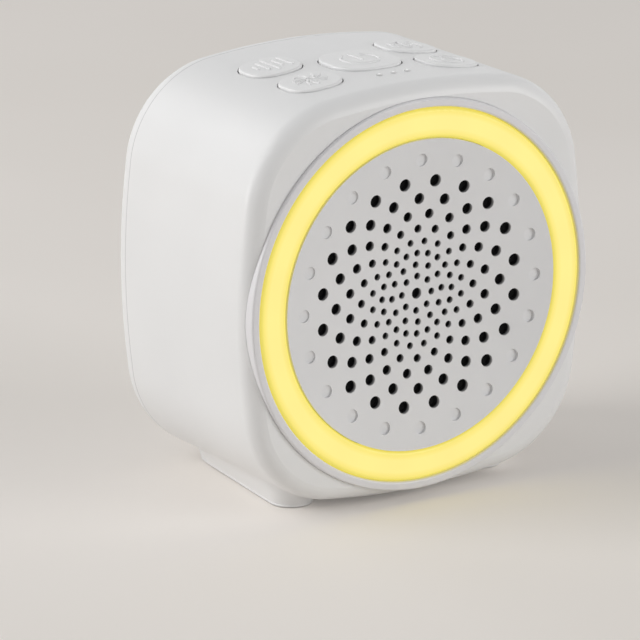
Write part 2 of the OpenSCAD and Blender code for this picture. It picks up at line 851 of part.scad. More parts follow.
// flat plan of the grille with all its holes
module grille_plan() {
    difference() {
        circle(r = grille_r);
        circle(r = centre_hole_r);
        for (ring = hole_rings)
            for (i = [0 : ring[1] - 1])
                rotate([0, 0, ring[3] + i * 360 / ring[1]])
                    translate([ring[0] * hole_field_r, 0])
                        circle(r = inner_hole_r + ring[2] * (outer_hole_r - inner_hole_r), $fn = 32);
    }
}

module speaker_grille() {
    middle_w = dish_w + dish_r;
    color(c_grille) on_axis() difference() {
        intersection() {
            rotate_extrude($fn = big_fn / 2) difference() {
                translate([0, baffle_w]) square([grille_r, bezel_front_w - baffle_w]);
                translate([0, middle_w]) circle(r = dish_r, $fn = dish_fn);
                difference() {
                    translate([0, baffle_w - eps]) square([skirt_in_r, bezel_front_w - baffle_w]);
                    translate([0, middle_w]) circle(r = dish_r + grille_t, $fn = dish_fn);
                }
            }
            translate([0, 0, baffle_w - eps])
                linear_extrude(bezel_front_w - baffle_w + 2 * eps) grille_plan();
        }
        for (i = [0 : dimple_count - 1])
            rotate([0, 0, i * 360 / dimple_count])
                translate([dimple_ring_r, 0,
                    middle_w - sqrt(pow(dish_r, 2) - pow(dimple_ring_r, 2)) - dimple_depth])
                    cylinder(r = dimple_r, h = dimple_depth + 2 * eps, $fn = 32);
    }
}

module grille_cloth() {
    middle_w = dish_w + dish_r;
    cloth_front_r = dish_r + grille_t + bore_gap;
    color(c_dark) on_axis() rotate_extrude($fn = big_fn / 2) intersection() {
        translate([0, dish_w - 2 * grille_t]) square([skirt_in_r - fit, 3 * grille_t]);
        difference() {
            translate([0, middle_w]) circle(r = cloth_front_r + cloth_t, $fn = dish_fn);
            translate([0, middle_w]) circle(r = cloth_front_r, $fn = dish_fn);
        }
    }
}

module led_board() {
    color(c_board) on_axis()
        tube(ledge_r - fit, channel_in_r + fit, channel_floor_w, channel_floor_w + lamp_board_t);
}

module ring_leds() {
    middle_r = (ledge_r + channel_in_r) / 2;
    color(c_glow) on_axis()
        for (i = [0 : lamp_count - 1])
            rotate([0, 0, i * 360 / lamp_count])
                translate([middle_r - lamp_side / 2, -lamp_side / 2, channel_floor_w + lamp_board_t])
                    cube([lamp_side, lamp_side, lamp_h]);
}

// speaker

module speaker_gasket() {
    color(c_rubber) on_axis() tube(speaker_r, opening_r, flange_front_w, baffle_back_w);
}

module speaker_frame() {
    rim_r = opening_r;
    color(c_steel) on_axis() difference() {
        rotate_extrude($fn = big_fn / 2)
            polygon([
                [speaker_r, flange_front_w],
                [speaker_r, flange_back_w],
                [rim_r, flange_back_w],
                [basket_floor_r, basket_back_w - basket_t],
                [coil_r + 2, basket_back_w - basket_t],
                [coil_r + 2, basket_back_w],
                [basket_floor_r - 3, basket_back_w],
                [basket_floor_r - 3, spider_w - 0.4],
                [basket_floor_r - 0.7, spider_w - 0.4],
                [rim_r - basket_t, flange_back_w],
                [rim_r - basket_t, flange_front_w]]);
        for (a = [0 : 60 : 300])
            rotate([0, 0, a])
                translate([basket_floor_r + 0.3, -5, basket_back_w + 2.2])
                    cube([rim_r - basket_floor_r + 2, 10, flange_back_w - basket_back_w - 3.4]);
    }
}

module speaker_surround() {
    roll = surround_w / 2;
    inner_r = cone_r + cone_gap;
    outer_r = opening_r - basket_t - 0.1;
    middle_r = (inner_r + outer_r) / 2;
    color(c_rubber) on_axis() rotate_extrude($fn = big_fn / 2) {
        difference() {
            translate([middle_r, flange_back_w]) intersection() {
                circle(r = (outer_r - inner_r) / 2);
                translate([-roll - eps, 0]) square([2 * roll + 2 * eps, roll + eps]);
            }
            translate([middle_r, flange_back_w]) circle(r = (outer_r - inner_r) / 2 - cone_t);
        }
    }
}

module speaker_spider() {
    color(c_copper) on_axis()
        tube(basket_floor_r - 1.2, coil_r + coil_t + cone_gap, spider_w - 0.4, spider_w);
}

module speaker_cone() {
    neck_r = coil_r + coil_t;
    color(c_paper) on_axis() rotate_extrude($fn = big_fn / 2)
        polygon([
            [neck_r, cone_back_w],
            [cone_r, cone_front_w - cone_t],
            [cone_r, cone_front_w],
            [neck_r, cone_back_w + cone_t]]);
}

module dust_cap() {
    dome_r = cap_r * 1.5;
    drop = sqrt(pow(dome_r, 2) - pow(cap_r, 2));
    color(c_paper) on_axis() rotate_extrude($fn = big_fn / 2) intersection() {
        translate([0, cap_w + cone_t + 0.1]) square([cap_r, cap_r]);
        difference() {
            translate([0, cap_w + cone_t + 0.1 - drop]) circle(r = dome_r);
            translate([0, cap_w + cone_t + 0.1 - drop]) circle(r = dome_r - cone_t);
        }
    }
}

module voice_coil() {
    color(c_copper) on_axis()
        tube(coil_r + coil_t, coil_r, plate_back_w - 1.5, cone_back_w + cone_t);
}

module speaker_magnet() {
    color(c_dark) on_axis() tube(magnet_r, coil_r + 2.4, magnet_back_w, plate_back_w);
}

module speaker_yoke() {
    color(c_steel) on_axis() {
        tube(magnet_r - 1.5, coil_r + coil_t + 0.35, plate_back_w, basket_back_w - basket_t);
        translate([0, 0, yoke_back_w]) cylinder(r = magnet_r - 1.5, h = plate_t);
        translate([0, 0, yoke_back_w])
            cylinder(r = coil_r - 0.35, h = basket_back_w - basket_t - yoke_back_w);
    }
}

module speaker_screws() {
    color(c_steel) on_axis()
        for (a = [45 : 90 : 315])
            rotate([0, 0, a])
                translate([speaker_screw_at, 0, flange_back_w])
                    mirror([0, 0, 1]) screw(small_r, small_l - 1, speaker_head_r, small_head_h);
}

// keys

// height of the housing's top above x
function top_at(x) = top_axis_z + sqrt(pow(top_arc_r, 2) - pow(x, 2));

// cap with retaining flange and a post that stands on the switch's plunger
module key_form(x, w, sx, sy, rc) {
    flange_z = -wall - key_rest;
    ceiling = key_proud - key_top_t;
    color(c_key) {
        at_top(x, w) difference() {
            union() {
                pad(sx, sy, rc, flange_z, key_proud, key_round);
                block(sx + 2 * key_flange, sy + 2 * key_flange, rc + key_flange,
                    flange_z - key_flange_t, flange_z);
            }
            block(sx - 2 * key_wall, sy - 2 * key_wall, max(rc - key_wall, 0.5),
                flange_z - key_flange_t - eps, ceiling);
        }
        translate([x, -w, plunger_top_z])
            cylinder(r = post_r, h = top_at(x) + ceiling + key_top_t / 2 - plunger_top_z);
    }
}

// plunger of the switch below a key
module plunger(x, w) {
    color(c_dark)
        translate([x, -w, switch_top_z - plunger_in])
            cylinder(r = plunger_r, h = plunger_in + plunger_out);
}

module power_key() {
    key_form(0, power_at_w, power_w, power_d, power_corner);
}

module rear_left_key() {
    key_form(-key_x, rear_key_w, key_w, key_d, key_corner);
}

module front_left_key() {
    key_form(-key_x, front_key_w, key_w, key_d, key_corner);
}

module rear_right_key() {
    key_form(key_x, rear_key_w, key_w, key_d, key_corner);
}

module front_right_key() {
    key_form(key_x, front_key_w, key_w, key_d, key_corner);
}

module power_plunger() {
    plunger(0, power_at_w);
}

module rear_left_plunger() {
    plunger(-key_x, rear_key_w);
}

module front_left_plunger() {
    plunger(-key_x, front_key_w);
}

module rear_right_plunger() {
    plunger(key_x, rear_key_w);
}

module front_right_plunger() {
    plunger(key_x, front_key_w);
}

module button_board() {
    color(c_board) difference() {
        translate([-switch_board_w / 2, -switch_board_front_w, board_top_z - board_t])
            cube([switch_board_w, switch_board_front_w - switch_board_back_w, board_t]);
        at_pillars()
            translate([0, 0, board_top_z - board_t - eps])
                cylinder(r = small_r + 0.2, h = board_t + 2 * eps);
    }
}

// body of one switch with the pocket of its plunger
module switch_body(x, w) {
    translate([x, -w, board_top_z]) difference() {
        translate([-switch_side / 2, -switch_side / 2, 0]) cube([switch_side, switch_side, switch_h]);
        translate([0, 0, switch_h - pocket_d]) cylinder(r = plunger_r + 0.2, h = pocket_d + eps);
    }
}

module tact_switches() {
    color(c_dark) {
        switch_body(0, power_at_w);
        for (s = [-1, 1], w = [rear_key_w, front_key_w])
            switch_body(s * key_x, w);
    }
}

module indicator_leds() {
    color(c_clear)
        for (s = [-1 : 1])
            translate([s * dot_pitch - 0.8, -dot_w - 0.4, board_top_z]) cube([1.6, 0.8, 0.6]);
}

module indicator_light_pipes() {
    bar_z = top_z - wall - 1.2;
    color(c_clear) {
        for (s = [-1 : 1])
            translate([s * dot_pitch, -dot_w, board_top_z + 0.9])
                cylinder(r = dot_r, h = top_at(s * dot_pitch) + dot_proud - board_top_z - 0.9);
        translate([-dot_pitch - 1.2, -dot_w - 1, bar_z]) cube([2 * dot_pitch + 2.4, 2, 1]);
    }
}

module button_board_screws() {
    color(c_steel) at_pillars()
        translate([0, 0, board_top_z - board_t])
            mirror([0, 0, 1]) screw(small_r, small_l, small_head_r, small_head_h);
}

// main board

module main_board() {
    color(c_board) facing() difference() {
        translate([-main_w / 2, main_z - shell_z, main_back_w]) cube([main_w, main_h, board_t]);
        at_main_posts()
            translate([0, 0, main_back_w - eps]) cylinder(r = small_r + 0.2, h = board_t + 2 * eps);
    }
}

module control_chip() {
    color(c_dark) facing()
        translate([-chip_left - chip_side / 2, main_z + main_h / 2 + chip_up - chip_side / 2 - shell_z,
            main_front_w]) cube([chip_side, chip_side, chip_t]);
}

module amplifier_chip() {
    color(c_dark) facing()
        translate([amp_right - amp_w / 2, main_z + main_h / 2 + amp_up - amp_h / 2 - shell_z,
            main_front_w]) cube([amp_w, amp_h, amp_t]);
}

module board_connectors() {
    color(c_white) facing()
        for (i = [-1 : 1])
            translate([i * plug_pitch - plug_w / 2, main_z + main_h - plug_drop - plug_h - shell_z,
                main_front_w]) difference() {
                    cube([plug_w, plug_h, plug_t]);
                    translate([plug_wall, plug_wall, plug_floor])
                        cube([plug_w - 2 * plug_wall, plug_h - 2 * plug_wall, plug_t]);
                }
}

module board_screws() {
    color(c_steel) facing() at_main_posts()
        translate([0, 0, main_front_w]) screw(small_r, small_l, small_head_r, small_head_h);
}

module usb_socket() {
    color(c_steel) facing() translate([0, socket_z - shell_z, 0]) {
        difference() {
            block(socket_w, socket_h, socket_h / 2 - 0.01, socket_back_w, main_back_w);
            block(socket_w - 2 * socket_sheet, socket_h - 2 * socket_sheet,
                socket_h / 2 - socket_sheet - 0.01, socket_back_w - eps, main_back_w - 0.8);
        }
        translate([-3.3, -0.35, socket_back_w + 0.6]) cube([6.6, 0.7, socket_l - 1]);
    }
}

// battery, feet and cover screws

module battery() {
    color(c_cell)
        translate([0, -battery_front_w + battery_d / 2, battery_z]) rotate([90, 0, 0])
            linear_extrude(battery_d, center = true) {
                translate([-battery_w / 2 + 1.5, 0]) square([battery_w - 3, battery_t]);
                for (s = [-1, 1])
                    translate([s * (battery_w / 2 - 1.5), 0]) intersection() {
                        translate([-1.5, 0]) square([3, battery_t]);
                        translate([-s * (battery_t - 1.5), battery_t / 2]) circle(r = battery_t);
                    }
            }
}

module battery_tape() {
    color(c_dark)
        translate([-battery_w / 2 + 3, -battery_front_w + 1, battery_z - tape_t])
            cube([battery_w - 6, battery_d - 2, tape_t]);
}

module foot_pads() {
    color(c_rubber) at_pads() cylinder(r = pad_r, h = pad_t);
}

module rear_cover_screws() {
    color(c_steel) facing() at_bosses()
        translate([0, 0, back_w + recess_d])
            mirror([0, 0, 1]) screw(screw_r, screw_l, screw_head_r, screw_head_h);
}

front_housing();
rear_cover();
bezel_ring();
light_ring();
speaker_grille();
grille_cloth();
led_board();
ring_leds();
speaker_gasket();
speaker_frame();
speaker_surround();
speaker_spider();
speaker_cone();
dust_cap();
voice_coil();
speaker_magnet();
speaker_yoke();
speaker_screws();
power_key();
rear_left_key();
front_left_key();
rear_right_key();
front_right_key();
power_plunger();
rear_left_plunger();
front_left_plunger();
rear_right_plunger();
front_right_plunger();
button_board();
tact_switches();
indicator_leds();
indicator_light_pipes();
button_board_screws();
main_board();
control_chip();
amplifier_chip();
board_connectors();
board_screws();
usb_socket();
battery();
battery_tape();
foot_pads();
rear_cover_screws();
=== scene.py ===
"""White noise sound machine: finishes, moulded details, floor, light and camera.

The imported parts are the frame. This script gives each of them its material, adds the forms that
are too soft or too fine for the solids, and sets the studio round the machine.
"""

import logging
import math
from collections.abc import Sequence
from dataclasses import dataclass, field
from enum import Enum

import bmesh
import bpy
from mathutils import Matrix, Vector


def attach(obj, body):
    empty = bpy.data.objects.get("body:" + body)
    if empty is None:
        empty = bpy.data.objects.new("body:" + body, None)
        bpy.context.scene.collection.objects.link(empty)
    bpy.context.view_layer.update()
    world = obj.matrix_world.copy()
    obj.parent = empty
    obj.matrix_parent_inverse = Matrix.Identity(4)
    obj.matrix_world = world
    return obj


MM = 0.001
HAIR = 1e-6  # keeps the arcs' square roots above zero
AXIS_Z_MM = 44.75  # height of the axis that grille, lit ring and driver share
WAVES_PER_UNIT = 3.2  # bands of Blender's wave texture at a scale of 1

Tree = bpy.types.NodeTree
Node = bpy.types.Node
Socket = bpy.types.NodeSocket
Colour = tuple[float, float, float, float]
Stroke = list[tuple[float, float]]

logging.basicConfig(level=logging.INFO, format="%(message)s")
log = logging.getLogger("sound_machine")

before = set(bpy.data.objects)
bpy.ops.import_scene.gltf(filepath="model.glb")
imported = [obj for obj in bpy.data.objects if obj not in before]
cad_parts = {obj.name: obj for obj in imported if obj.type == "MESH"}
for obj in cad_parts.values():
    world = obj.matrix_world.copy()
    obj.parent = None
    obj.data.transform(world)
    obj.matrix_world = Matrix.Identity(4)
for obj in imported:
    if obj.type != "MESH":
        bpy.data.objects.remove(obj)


class Body(Enum):
    """Bodies of the frame that pieces of this scene ride on."""

    CASING = "casing"
    POWER = "power_button"
    REAR_LEFT = "rear_left_button"
    FRONT_LEFT = "front_left_button"
    REAR_RIGHT = "rear_right_button"
    FRONT_RIGHT = "front_right_button"


class Slot(Enum):
    """Material slots of the record."""

    WHITE = "white_plastic"
    KEY = "key_plastic"
    GRILLE = "grille_plastic"
    GLOW = "glowing_diffuser"
    CLOTH = "dust_cloth"
    BOARD = "circuit_board"
    LAMP = "lamp_resin"
    FOAM = "rubber_foam"
    STEEL = "plated_steel"
    PAPER = "cone_paper"
    COPPER = "coil_copper"
    MAGNET = "magnet_ferrite"
    BLACK = "black_plastic"
    CLEAR = "clear_plastic"
    NYLON = "connector_plastic"
    FOIL = "cell_foil"
    RUBBER = "pad_rubber"


# ---------------------------------------------------------------- shader helpers


def linear(hex_colour: str) -> Colour:
    """Turn an sRGB hex colour into linear RGBA.

    Args:
        hex_colour: Six hex digits, with or without a leading #.

    Returns:
        Red, green, blue and an alpha of 1.
    """
    digits = hex_colour.lstrip("#")
    parts = [int(digits[i:i + 2], 16) / 255 for i in (0, 2, 4)]
    bent = [p / 12.92 if p <= 0.04045 else ((p + 0.055) / 1.055) ** 2.4 for p in parts]
    return (bent[0], bent[1], bent[2], 1.0)


def shade(hex_colour: str, factor: float) -> Colour:
    """The linear colour of a hex value, made darker or lighter by a factor."""
    red, green, blue, alpha = linear(hex_colour)
    return (red * factor, green * factor, blue * factor, alpha)


def add(tree: Tree, kind: str, inputs: dict | None = None, **settings) -> Node:
    """Add one node with its settings and links.

    Args:
        tree: The material's or world's node tree.
        kind: Blender's name of the node type.
        inputs: Input name or number to a value, or to the socket that feeds it.
        **settings: Properties of the node itself.

    Returns:
        The new node.
    """
    node = tree.nodes.new(kind)
    for name, value in settings.items():
        setattr(node, name, value)
    for name, value in (inputs or {}).items():
        if isinstance(value, Socket):
            tree.links.new(value, node.inputs[name])
        else:
            node.inputs[name].default_value = value
    return node


def feed(tree: Tree, socket: Socket, shader: Node, name: str) -> None:
    """Link a socket to an input of the shader."""
    tree.links.new(socket, shader.inputs[name])


def compute(tree: Tree, operation: str, *values: Socket | float) -> Socket:
    """Sum, product or other operation on numbers and sockets; returns the value socket."""
    return add(tree, "ShaderNodeMath", dict(enumerate(values)), operation=operation).outputs[0]


def mix(tree: Tree, factor: Socket, under: Socket | Colour, over: Socket | Colour) -> Socket:
    """Colour between two others, by a factor; returns the colour socket."""
    return add(tree, "ShaderNodeMix", {0: factor, 6: under, 7: over}, data_type="RGBA").outputs[2]


def per_metre(size_mm: float) -> float:
    """Texture scale at which one feature measures size_mm."""
    return 1.0 / (size_mm * MM)


def ramp(tree: Tree, factor: Socket,
         stops: Sequence[tuple[float, Colour]]) -> Socket:
    """Colour ramp over a factor.

    Args:
        tree: The node tree.
        factor: Socket that drives the ramp.
        stops: Position and linear colour of each stop, in rising order.

    Returns:
        The colour socket.
    """
    node = add(tree, "ShaderNodeValToRGB", {"Fac": factor})
    points = node.color_ramp.elements
    while len(points) < len(stops):
        points.new(0.5)
    for point, (position, colour) in zip(points, stops):
        point.position = position
        point.color = colour
    return node.outputs["Color"]


def noise(tree: Tree, where: Socket, size_mm: float,
          detail: float = 2.0, rough: float = 0.5) -> Socket:
    """Noise whose features measure size_mm; returns its factor socket."""
    return add(tree, "ShaderNodeTexNoise", {
        "Vector": where, "Scale": per_metre(size_mm), "Detail": detail, "Roughness": rough}).outputs["Fac"]


def spread(tree: Tree, factor: Socket, low: float, high: float,
           from_low: float = 0.3, from_high: float = 0.7) -> Socket:
    """Map a factor onto the range low to high; returns the value socket."""
    return add(tree, "ShaderNodeMapRange", {
        "Value": factor, "From Min": from_low, "From Max": from_high,
        "To Min": low, "To Max": high}).outputs["Result"]


def bump(tree: Tree, height: Socket, strength: float, depth_mm: float) -> Socket:
    """Bump of a height socket; returns the normal socket."""
    return add(tree, "ShaderNodeBump", {
        "Height": height, "Strength": strength, "Distance": depth_mm * MM}).outputs["Normal"]


def cells(tree: Tree, where: Socket, size_mm: float) -> Socket:
    """Packed cells that measure size_mm; returns the distance from their middles."""
    return add(tree, "ShaderNodeTexVoronoi", {
        "Vector": where, "Scale": per_metre(size_mm)}).outputs["Distance"]


def bands(tree: Tree, where: Socket, pitch_mm: float, direction: str, waver: float = 0.0,
          detail: float = 2.0) -> Socket:
    """Bands across a direction, one every pitch_mm; returns their factor socket."""
    return add(tree, "ShaderNodeTexWave", {
        "Vector": where, "Scale": per_metre(pitch_mm) / WAVES_PER_UNIT,
        "Distortion": waver, "Detail": detail}, bands_direction=direction).outputs["Fac"]


def from_axis(tree: Tree, where: Socket) -> tuple[Socket, Socket]:
    """Place as seen from the front, from the shared axis; returns it and its distance."""
    flat = add(tree, "ShaderNodeMapping", {
        "Vector": where, "Location": (0.0, 0.0, -AXIS_Z_MM * MM), "Scale": (1.0, 0.0, 1.0)})
    away = add(tree, "ShaderNodeVectorMath", {0: flat.outputs["Vector"]}, operation="LENGTH")
    return flat.outputs["Vector"], away.outputs["Value"]


def seen_directly(tree: Tree) -> Socket:
    """One for rays from the camera, from gloss and through glass, nought for diffuse light."""
    path = add(tree, "ShaderNodeLightPath")
    seen = compute(tree, "MAXIMUM", path.outputs["Is Camera Ray"], path.outputs["Is Glossy Ray"])
    return compute(tree, "MAXIMUM", seen, path.outputs["Is Transmission Ray"])


# ---------------------------------------------------------------- finishes


@dataclass(frozen=True)
class Finish:
    """A material named for what it is and how it was made.

    Attributes:
        name: Name of the Blender material.
        slot: Slot of the record that it belongs to; not used by the script.
        colour: Main colour as sRGB hex.
        roughness: Mean roughness.
        ior: Index of refraction.
    """

    name: str
    slot: Slot
    colour: str
    roughness: float
    ior: float = 1.5

    def material(self) -> bpy.types.Material:
        """Build the material, or return it if it is already there."""
        found = bpy.data.materials.get(self.name)
        if found:
            return found
        made = bpy.data.materials.new(self.name)
        made.use_nodes = True
        made.diffuse_color = linear(self.colour)
        tree = made.node_tree
        tree.nodes.clear()
        where = add(tree, "ShaderNodeTexCoord").outputs["Object"]
        shader = add(tree, "ShaderNodeBsdfPrincipled", {
            "Base Color": linear(self.colour), "Roughness": self.roughness, "IOR": self.ior})
        self.detail(tree, shader, where)
        add(tree, "ShaderNodeOutputMaterial", {"Surface": shader.outputs["BSDF"]})
        return made

    def detail(self, tree: Tree, shader: Node, where: Socket) -> None:
        """Add what the eye finds on this finish; each kind of finish has its own."""
        raise NotImplementedError


@dataclass(frozen=True)
class MouldedPlastic(Finish):
    """Injection-moulded plastic from a spark-eroded mould.

    The fine even grain breaks up reflections, so highlights are broad and satin, and the tone drifts
    a little over centimetres, as the melt cooled unevenly.

    Attributes:
        grain_mm: Size of the grain.
        grain_depth_mm: Its depth.
        drift: The darker tone as a share of the colour.
    """

    grain_mm: float = 0.28
    grain_depth_mm: float = 0.012
    drift: float = 0.975

    def detail(self, tree: Tree, shader: Node, where: Socket) -> None:
        """Grain in the bump, drift in the colour, slight clouds in the roughness."""
        cloud = noise(tree, where, 26.0, 1.5)
        tone = ramp(tree, cloud, [(0.35, shade(self.colour, self.drift)), (0.65, linear(self.colour))])
        feed(tree, tone, shader, "Base Color")
        rough = spread(tree, noise(tree, where, 3.5, 3.0), self.roughness - 0.03, self.roughness + 0.03)
        feed(tree, rough, shader, "Roughness")
        grain = noise(tree, where, self.grain_mm, 2.0, 0.6)
        feed(tree, bump(tree, grain, 0.35, self.grain_depth_mm), shader, "Normal")


@dataclass(frozen=True)
class ShellPlastic(MouldedPlastic):
    """Moulded plastic of the two shells, which meet in a parting line.

    Where the shells meet, the shade of the joint is painted into the colour as a fine grey hairline.

    Attributes:
        joint_mm: Place of the joint, towards the back.
        line_mm: Half the hairline's width.
        line_core: Share of that half which has the full tone.
        joint_shade_tone: Tone of the painted shade hairline, as a share of the colour.
    """

    joint_mm: float = 21.65
    line_mm: float = 0.16
    line_core: float = 0.4
    joint_shade_tone: float = 0.7

    def detail(self, tree: Tree, shader: Node, where: Socket) -> None:
        """Grain and drift as for other moulded plastic, then the painted shade hairline across the depth.
        """
        super().detail(tree, shader, where)
        face = shader.inputs["Base Color"].links[0].from_socket
        depth = add(tree, "ShaderNodeSeparateXYZ", {0: where}).outputs["Y"]
        off = compute(tree, "ABSOLUTE", compute(tree, "SUBTRACT", depth, self.joint_mm * MM))
        # Painted shade: the colour darkens to a fine grey hairline where the two shells meet.
        line = spread(tree, off, 0.0, 1.0, self.line_mm * MM, self.line_mm * MM * self.line_core)
        feed(tree, mix(tree, line, face, shade(self.colour, self.joint_shade_tone)), shader, "Base Color")


@dataclass(frozen=True)
class PiercedPlastic(MouldedPlastic):
    """Moulded plastic of the dished grille, with its holes' walls in their own shadow.

    The face keeps the satin grain. Behind the dish the holes' walls fall off to near black within
    the plate's thickness, so that each hole reads as a clean dark dot with a crisp rim, while the
    blind dimples outside the field of holes stay pale.

    Attributes:
        shadow: Tone deep in a hole.
        dish_mm: Radius of the dish.
        dish_at_mm: Its deepest point, towards the back.
        start_mm: Depth behind the dish where the shadow begins.
        end_mm: Depth where it is full.
        holes_mm: Radius of the field of holes.
    """

    shadow: str = "#1D1D1F"
    dish_mm: float = 261.8
    dish_at_mm: float = -25.25
    start_mm: float = 0.1
    end_mm: float = 1.0
    holes_mm: float = 27.0

    def detail(self, tree: Tree, shader: Node, where: Socket) -> None:
        """Grain and drift as for other moulded plastic, then the shadow by depth behind the dish."""
        super().detail(tree, shader, where)
        face = shader.inputs["Base Color"].links[0].from_socket
        middle = (0.0, (self.dish_at_mm - self.dish_mm) * MM, AXIS_Z_MM * MM)
        reach = add(tree, "ShaderNodeVectorMath", {0: where, 1: middle}, operation="DISTANCE")
        depth = spread(tree, reach.outputs["Value"], 0.0, 1.0,
                       (self.dish_mm + self.start_mm) * MM, (self.dish_mm + self.end_mm) * MM)
        away = from_axis(tree, where)[1]
        # Painted shadow: inside the field of holes, the walls darken to near black with depth behind the
        # dish.
        dark = compute(tree, "MULTIPLY", depth, compute(tree, "LESS_THAN", away, self.holes_mm * MM))
        feed(tree, mix(tree, dark, face, linear(self.shadow)), shader, "Base Color")


@dataclass(frozen=True)
class LitDiffuser(Finish):
    """Milky diffuser ring with lamps behind it.

    It glows evenly over its width and falls off to a greener, darker yellow at both rims, where the
    light leaves the wall sideways; behind the milk, the lamps show as the faintest brighter patches.

    Attributes:
        rim: Glow at both rims.
        near_rim: Glow just inside the rims.
        heart: Glow over most of the width.
        inner_mm: Radius of the inner rim.
        outer_mm: Radius of the outer rim.
        lamps: How many lamps are behind the ring.
        glow: Strength of the glow.
        between: Glow between two lamps, as a share.
        over_lamp: Glow over a lamp, as a share.
    """

    rim: str = "#D8CF5A"
    near_rim: str = "#F3E67C"
    heart: str = "#FFF19B"
    inner_mm: float = 33.85
    outer_mm: float = 40.3
    lamps: int = 16
    glow: float = 0.74
    between: float = 0.985
    over_lamp: float = 1.01

    def detail(self, tree: Tree, shader: Node, where: Socket) -> None:
        """Glow by the distance from the ring's axis, with soft patches over the lamps."""
        flat, away = from_axis(tree, where)
        across = spread(tree, away, 0.0, 1.0, self.inner_mm * MM, self.outer_mm * MM)
        colour = ramp(tree, across, [
            (0.0, linear(self.rim)), (0.1, linear(self.near_rim)), (0.3, linear(self.heart)),
            (0.7, linear(self.heart)), (0.88, linear(self.near_rim)), (1.0, linear(self.rim))])
        axes = add(tree, "ShaderNodeSeparateXYZ", {0: flat})
        angle = compute(tree, "ARCTAN2", axes.outputs["Z"], axes.outputs["X"])
        wave = compute(tree, "COSINE", compute(tree, "MULTIPLY", angle, float(self.lamps)))
        strength = spread(tree, wave, self.glow * self.between, self.glow * self.over_lamp, -1.0, 1.0)
        feed(tree, colour, shader, "Emission Color")
        feed(tree, strength, shader, "Emission Strength")
        rough = spread(tree, noise(tree, where, 2.0, 2.0), self.roughness - 0.02, self.roughness + 0.02)
        feed(tree, rough, shader, "Roughness")


@dataclass(frozen=True)
class WovenCloth(Finish):
    """Thin woven dust cloth: crossed threads with dark gaps between them, dull all over."""

    thread_mm: float = 0.3
    gap: str = "#050505"

    def detail(self, tree: Tree, shader: Node, where: Socket) -> None:
        """Two crossed waves make the weave, in colour and in bump."""
        warp = bands(tree, where, self.thread_mm, "X", 0.4, 1.0)
        weft = bands(tree, where, self.thread_mm, "Z", 0.4, 1.0)
        over = compute(tree, "MULTIPLY", warp, weft)
        tone = ramp(tree, over, [(0.1, linear(self.gap)), (0.7, linear(self.colour))])
        feed(tree, tone, shader, "Base Color")
        feed(tree, bump(tree, over, 0.6, 0.08), shader, "Normal")


@dataclass(frozen=True)
class SolderMask(Finish):
    """Glass fibre board under a thin glossy mask; copper tracks show as slightly lighter lines."""

    track: str = "#2A6B45"
    track_mm: float = 1.3

    def detail(self, tree: Tree, shader: Node, where: Socket) -> None:
        """Straight-edged cells stand for tracks and copper fields, raised a hair."""
        fields = add(tree, "ShaderNodeTexVoronoi", {
            "Vector": where, "Scale": per_metre(self.track_mm * 3)},
            distance="MANHATTAN", feature="F1").outputs["Distance"]
        edge = ramp(tree, fields, [
            (0.3, linear(self.colour)), (0.34, linear(self.track)),
            (0.48, linear(self.track)), (0.52, linear(self.colour))])
        feed(tree, edge, shader, "Base Color")
        feed(tree, bump(tree, fields, 0.15, 0.03), shader, "Normal")


@dataclass(frozen=True)
class CastResin(Finish):
    """Resin cast clear or tinted: it lets some light in and has a wet gloss with soft clouding."""

    milk: float = 0.5
    glow: float = 0.0

    def detail(self, tree: Tree, shader: Node, where: Socket) -> None:
        """Part transmission for depth, faint clouds so that it isn't empty."""
        shader.inputs["Transmission Weight"].default_value = 1.0 - self.milk
        shader.inputs["Emission Color"].default_value = linear(self.colour)
        shader.inputs["Emission Strength"].default_value = self.glow
        cloud = noise(tree, where, 1.2, 2.0)
        tone = ramp(tree, cloud, [(0.3, shade(self.colour, 0.94)), (0.7, linear(self.colour))])
        feed(tree, tone, shader, "Base Color")


@dataclass(frozen=True)
class LitPipe(CastResin):
    """Light pipe of milky resin: only the middle of its end glows, like a pin prick in a pale disc.

    Attributes:
        pitch_mm: From one pipe to the next, across.
        at_mm: Place of the row of pipes, towards the back.
        spot_mm: Radius of the lit spot.
        spot_core: Share of that radius which glows in full.
    """

    pitch_mm: float = 3.5
    at_mm: float = -16.05
    spot_mm: float = 0.32
    spot_core: float = 0.6

    def detail(self, tree: Tree, shader: Node, where: Socket) -> None:
        """Clouded resin, and a spot of light on the axis of each pipe."""
        super().detail(tree, shader, where)
        axes = add(tree, "ShaderNodeSeparateXYZ", {0: where})
        half = self.pitch_mm * MM / 2
        across = compute(tree, "WRAP", axes.outputs["X"], half, -half)
        along = compute(tree, "SUBTRACT", axes.outputs["Y"], self.at_mm * MM)
        flat = add(tree, "ShaderNodeCombineXYZ", {"X": across, "Y": along}).outputs["Vector"]
        away = add(tree, "ShaderNodeVectorMath", {0: flat}, operation="LENGTH").outputs["Value"]
        spot = spread(tree, away, 0.0, self.glow, self.spot_mm * MM, self.spot_mm * MM * self.spot_core)
        feed(tree, spot, shader, "Emission Strength")


@dataclass(frozen=True)
class FoamRubber(Finish):
    """Rubber or foam: dull and dark, with tiny open pores that catch no light."""

    pore_mm: float = 0.35

    def detail(self, tree: Tree, shader: Node, where: Socket) -> None:
        """Pores from cells, darker and sunk."""
        pores = cells(tree, where, self.pore_mm)
        tone = ramp(tree, pores, [(0.15, shade(self.colour, 0.6)), (0.6, linear(self.colour))])
        feed(tree, tone, shader, "Base Color")
        feed(tree, bump(tree, pores, 0.5, 0.05), shader, "Normal")


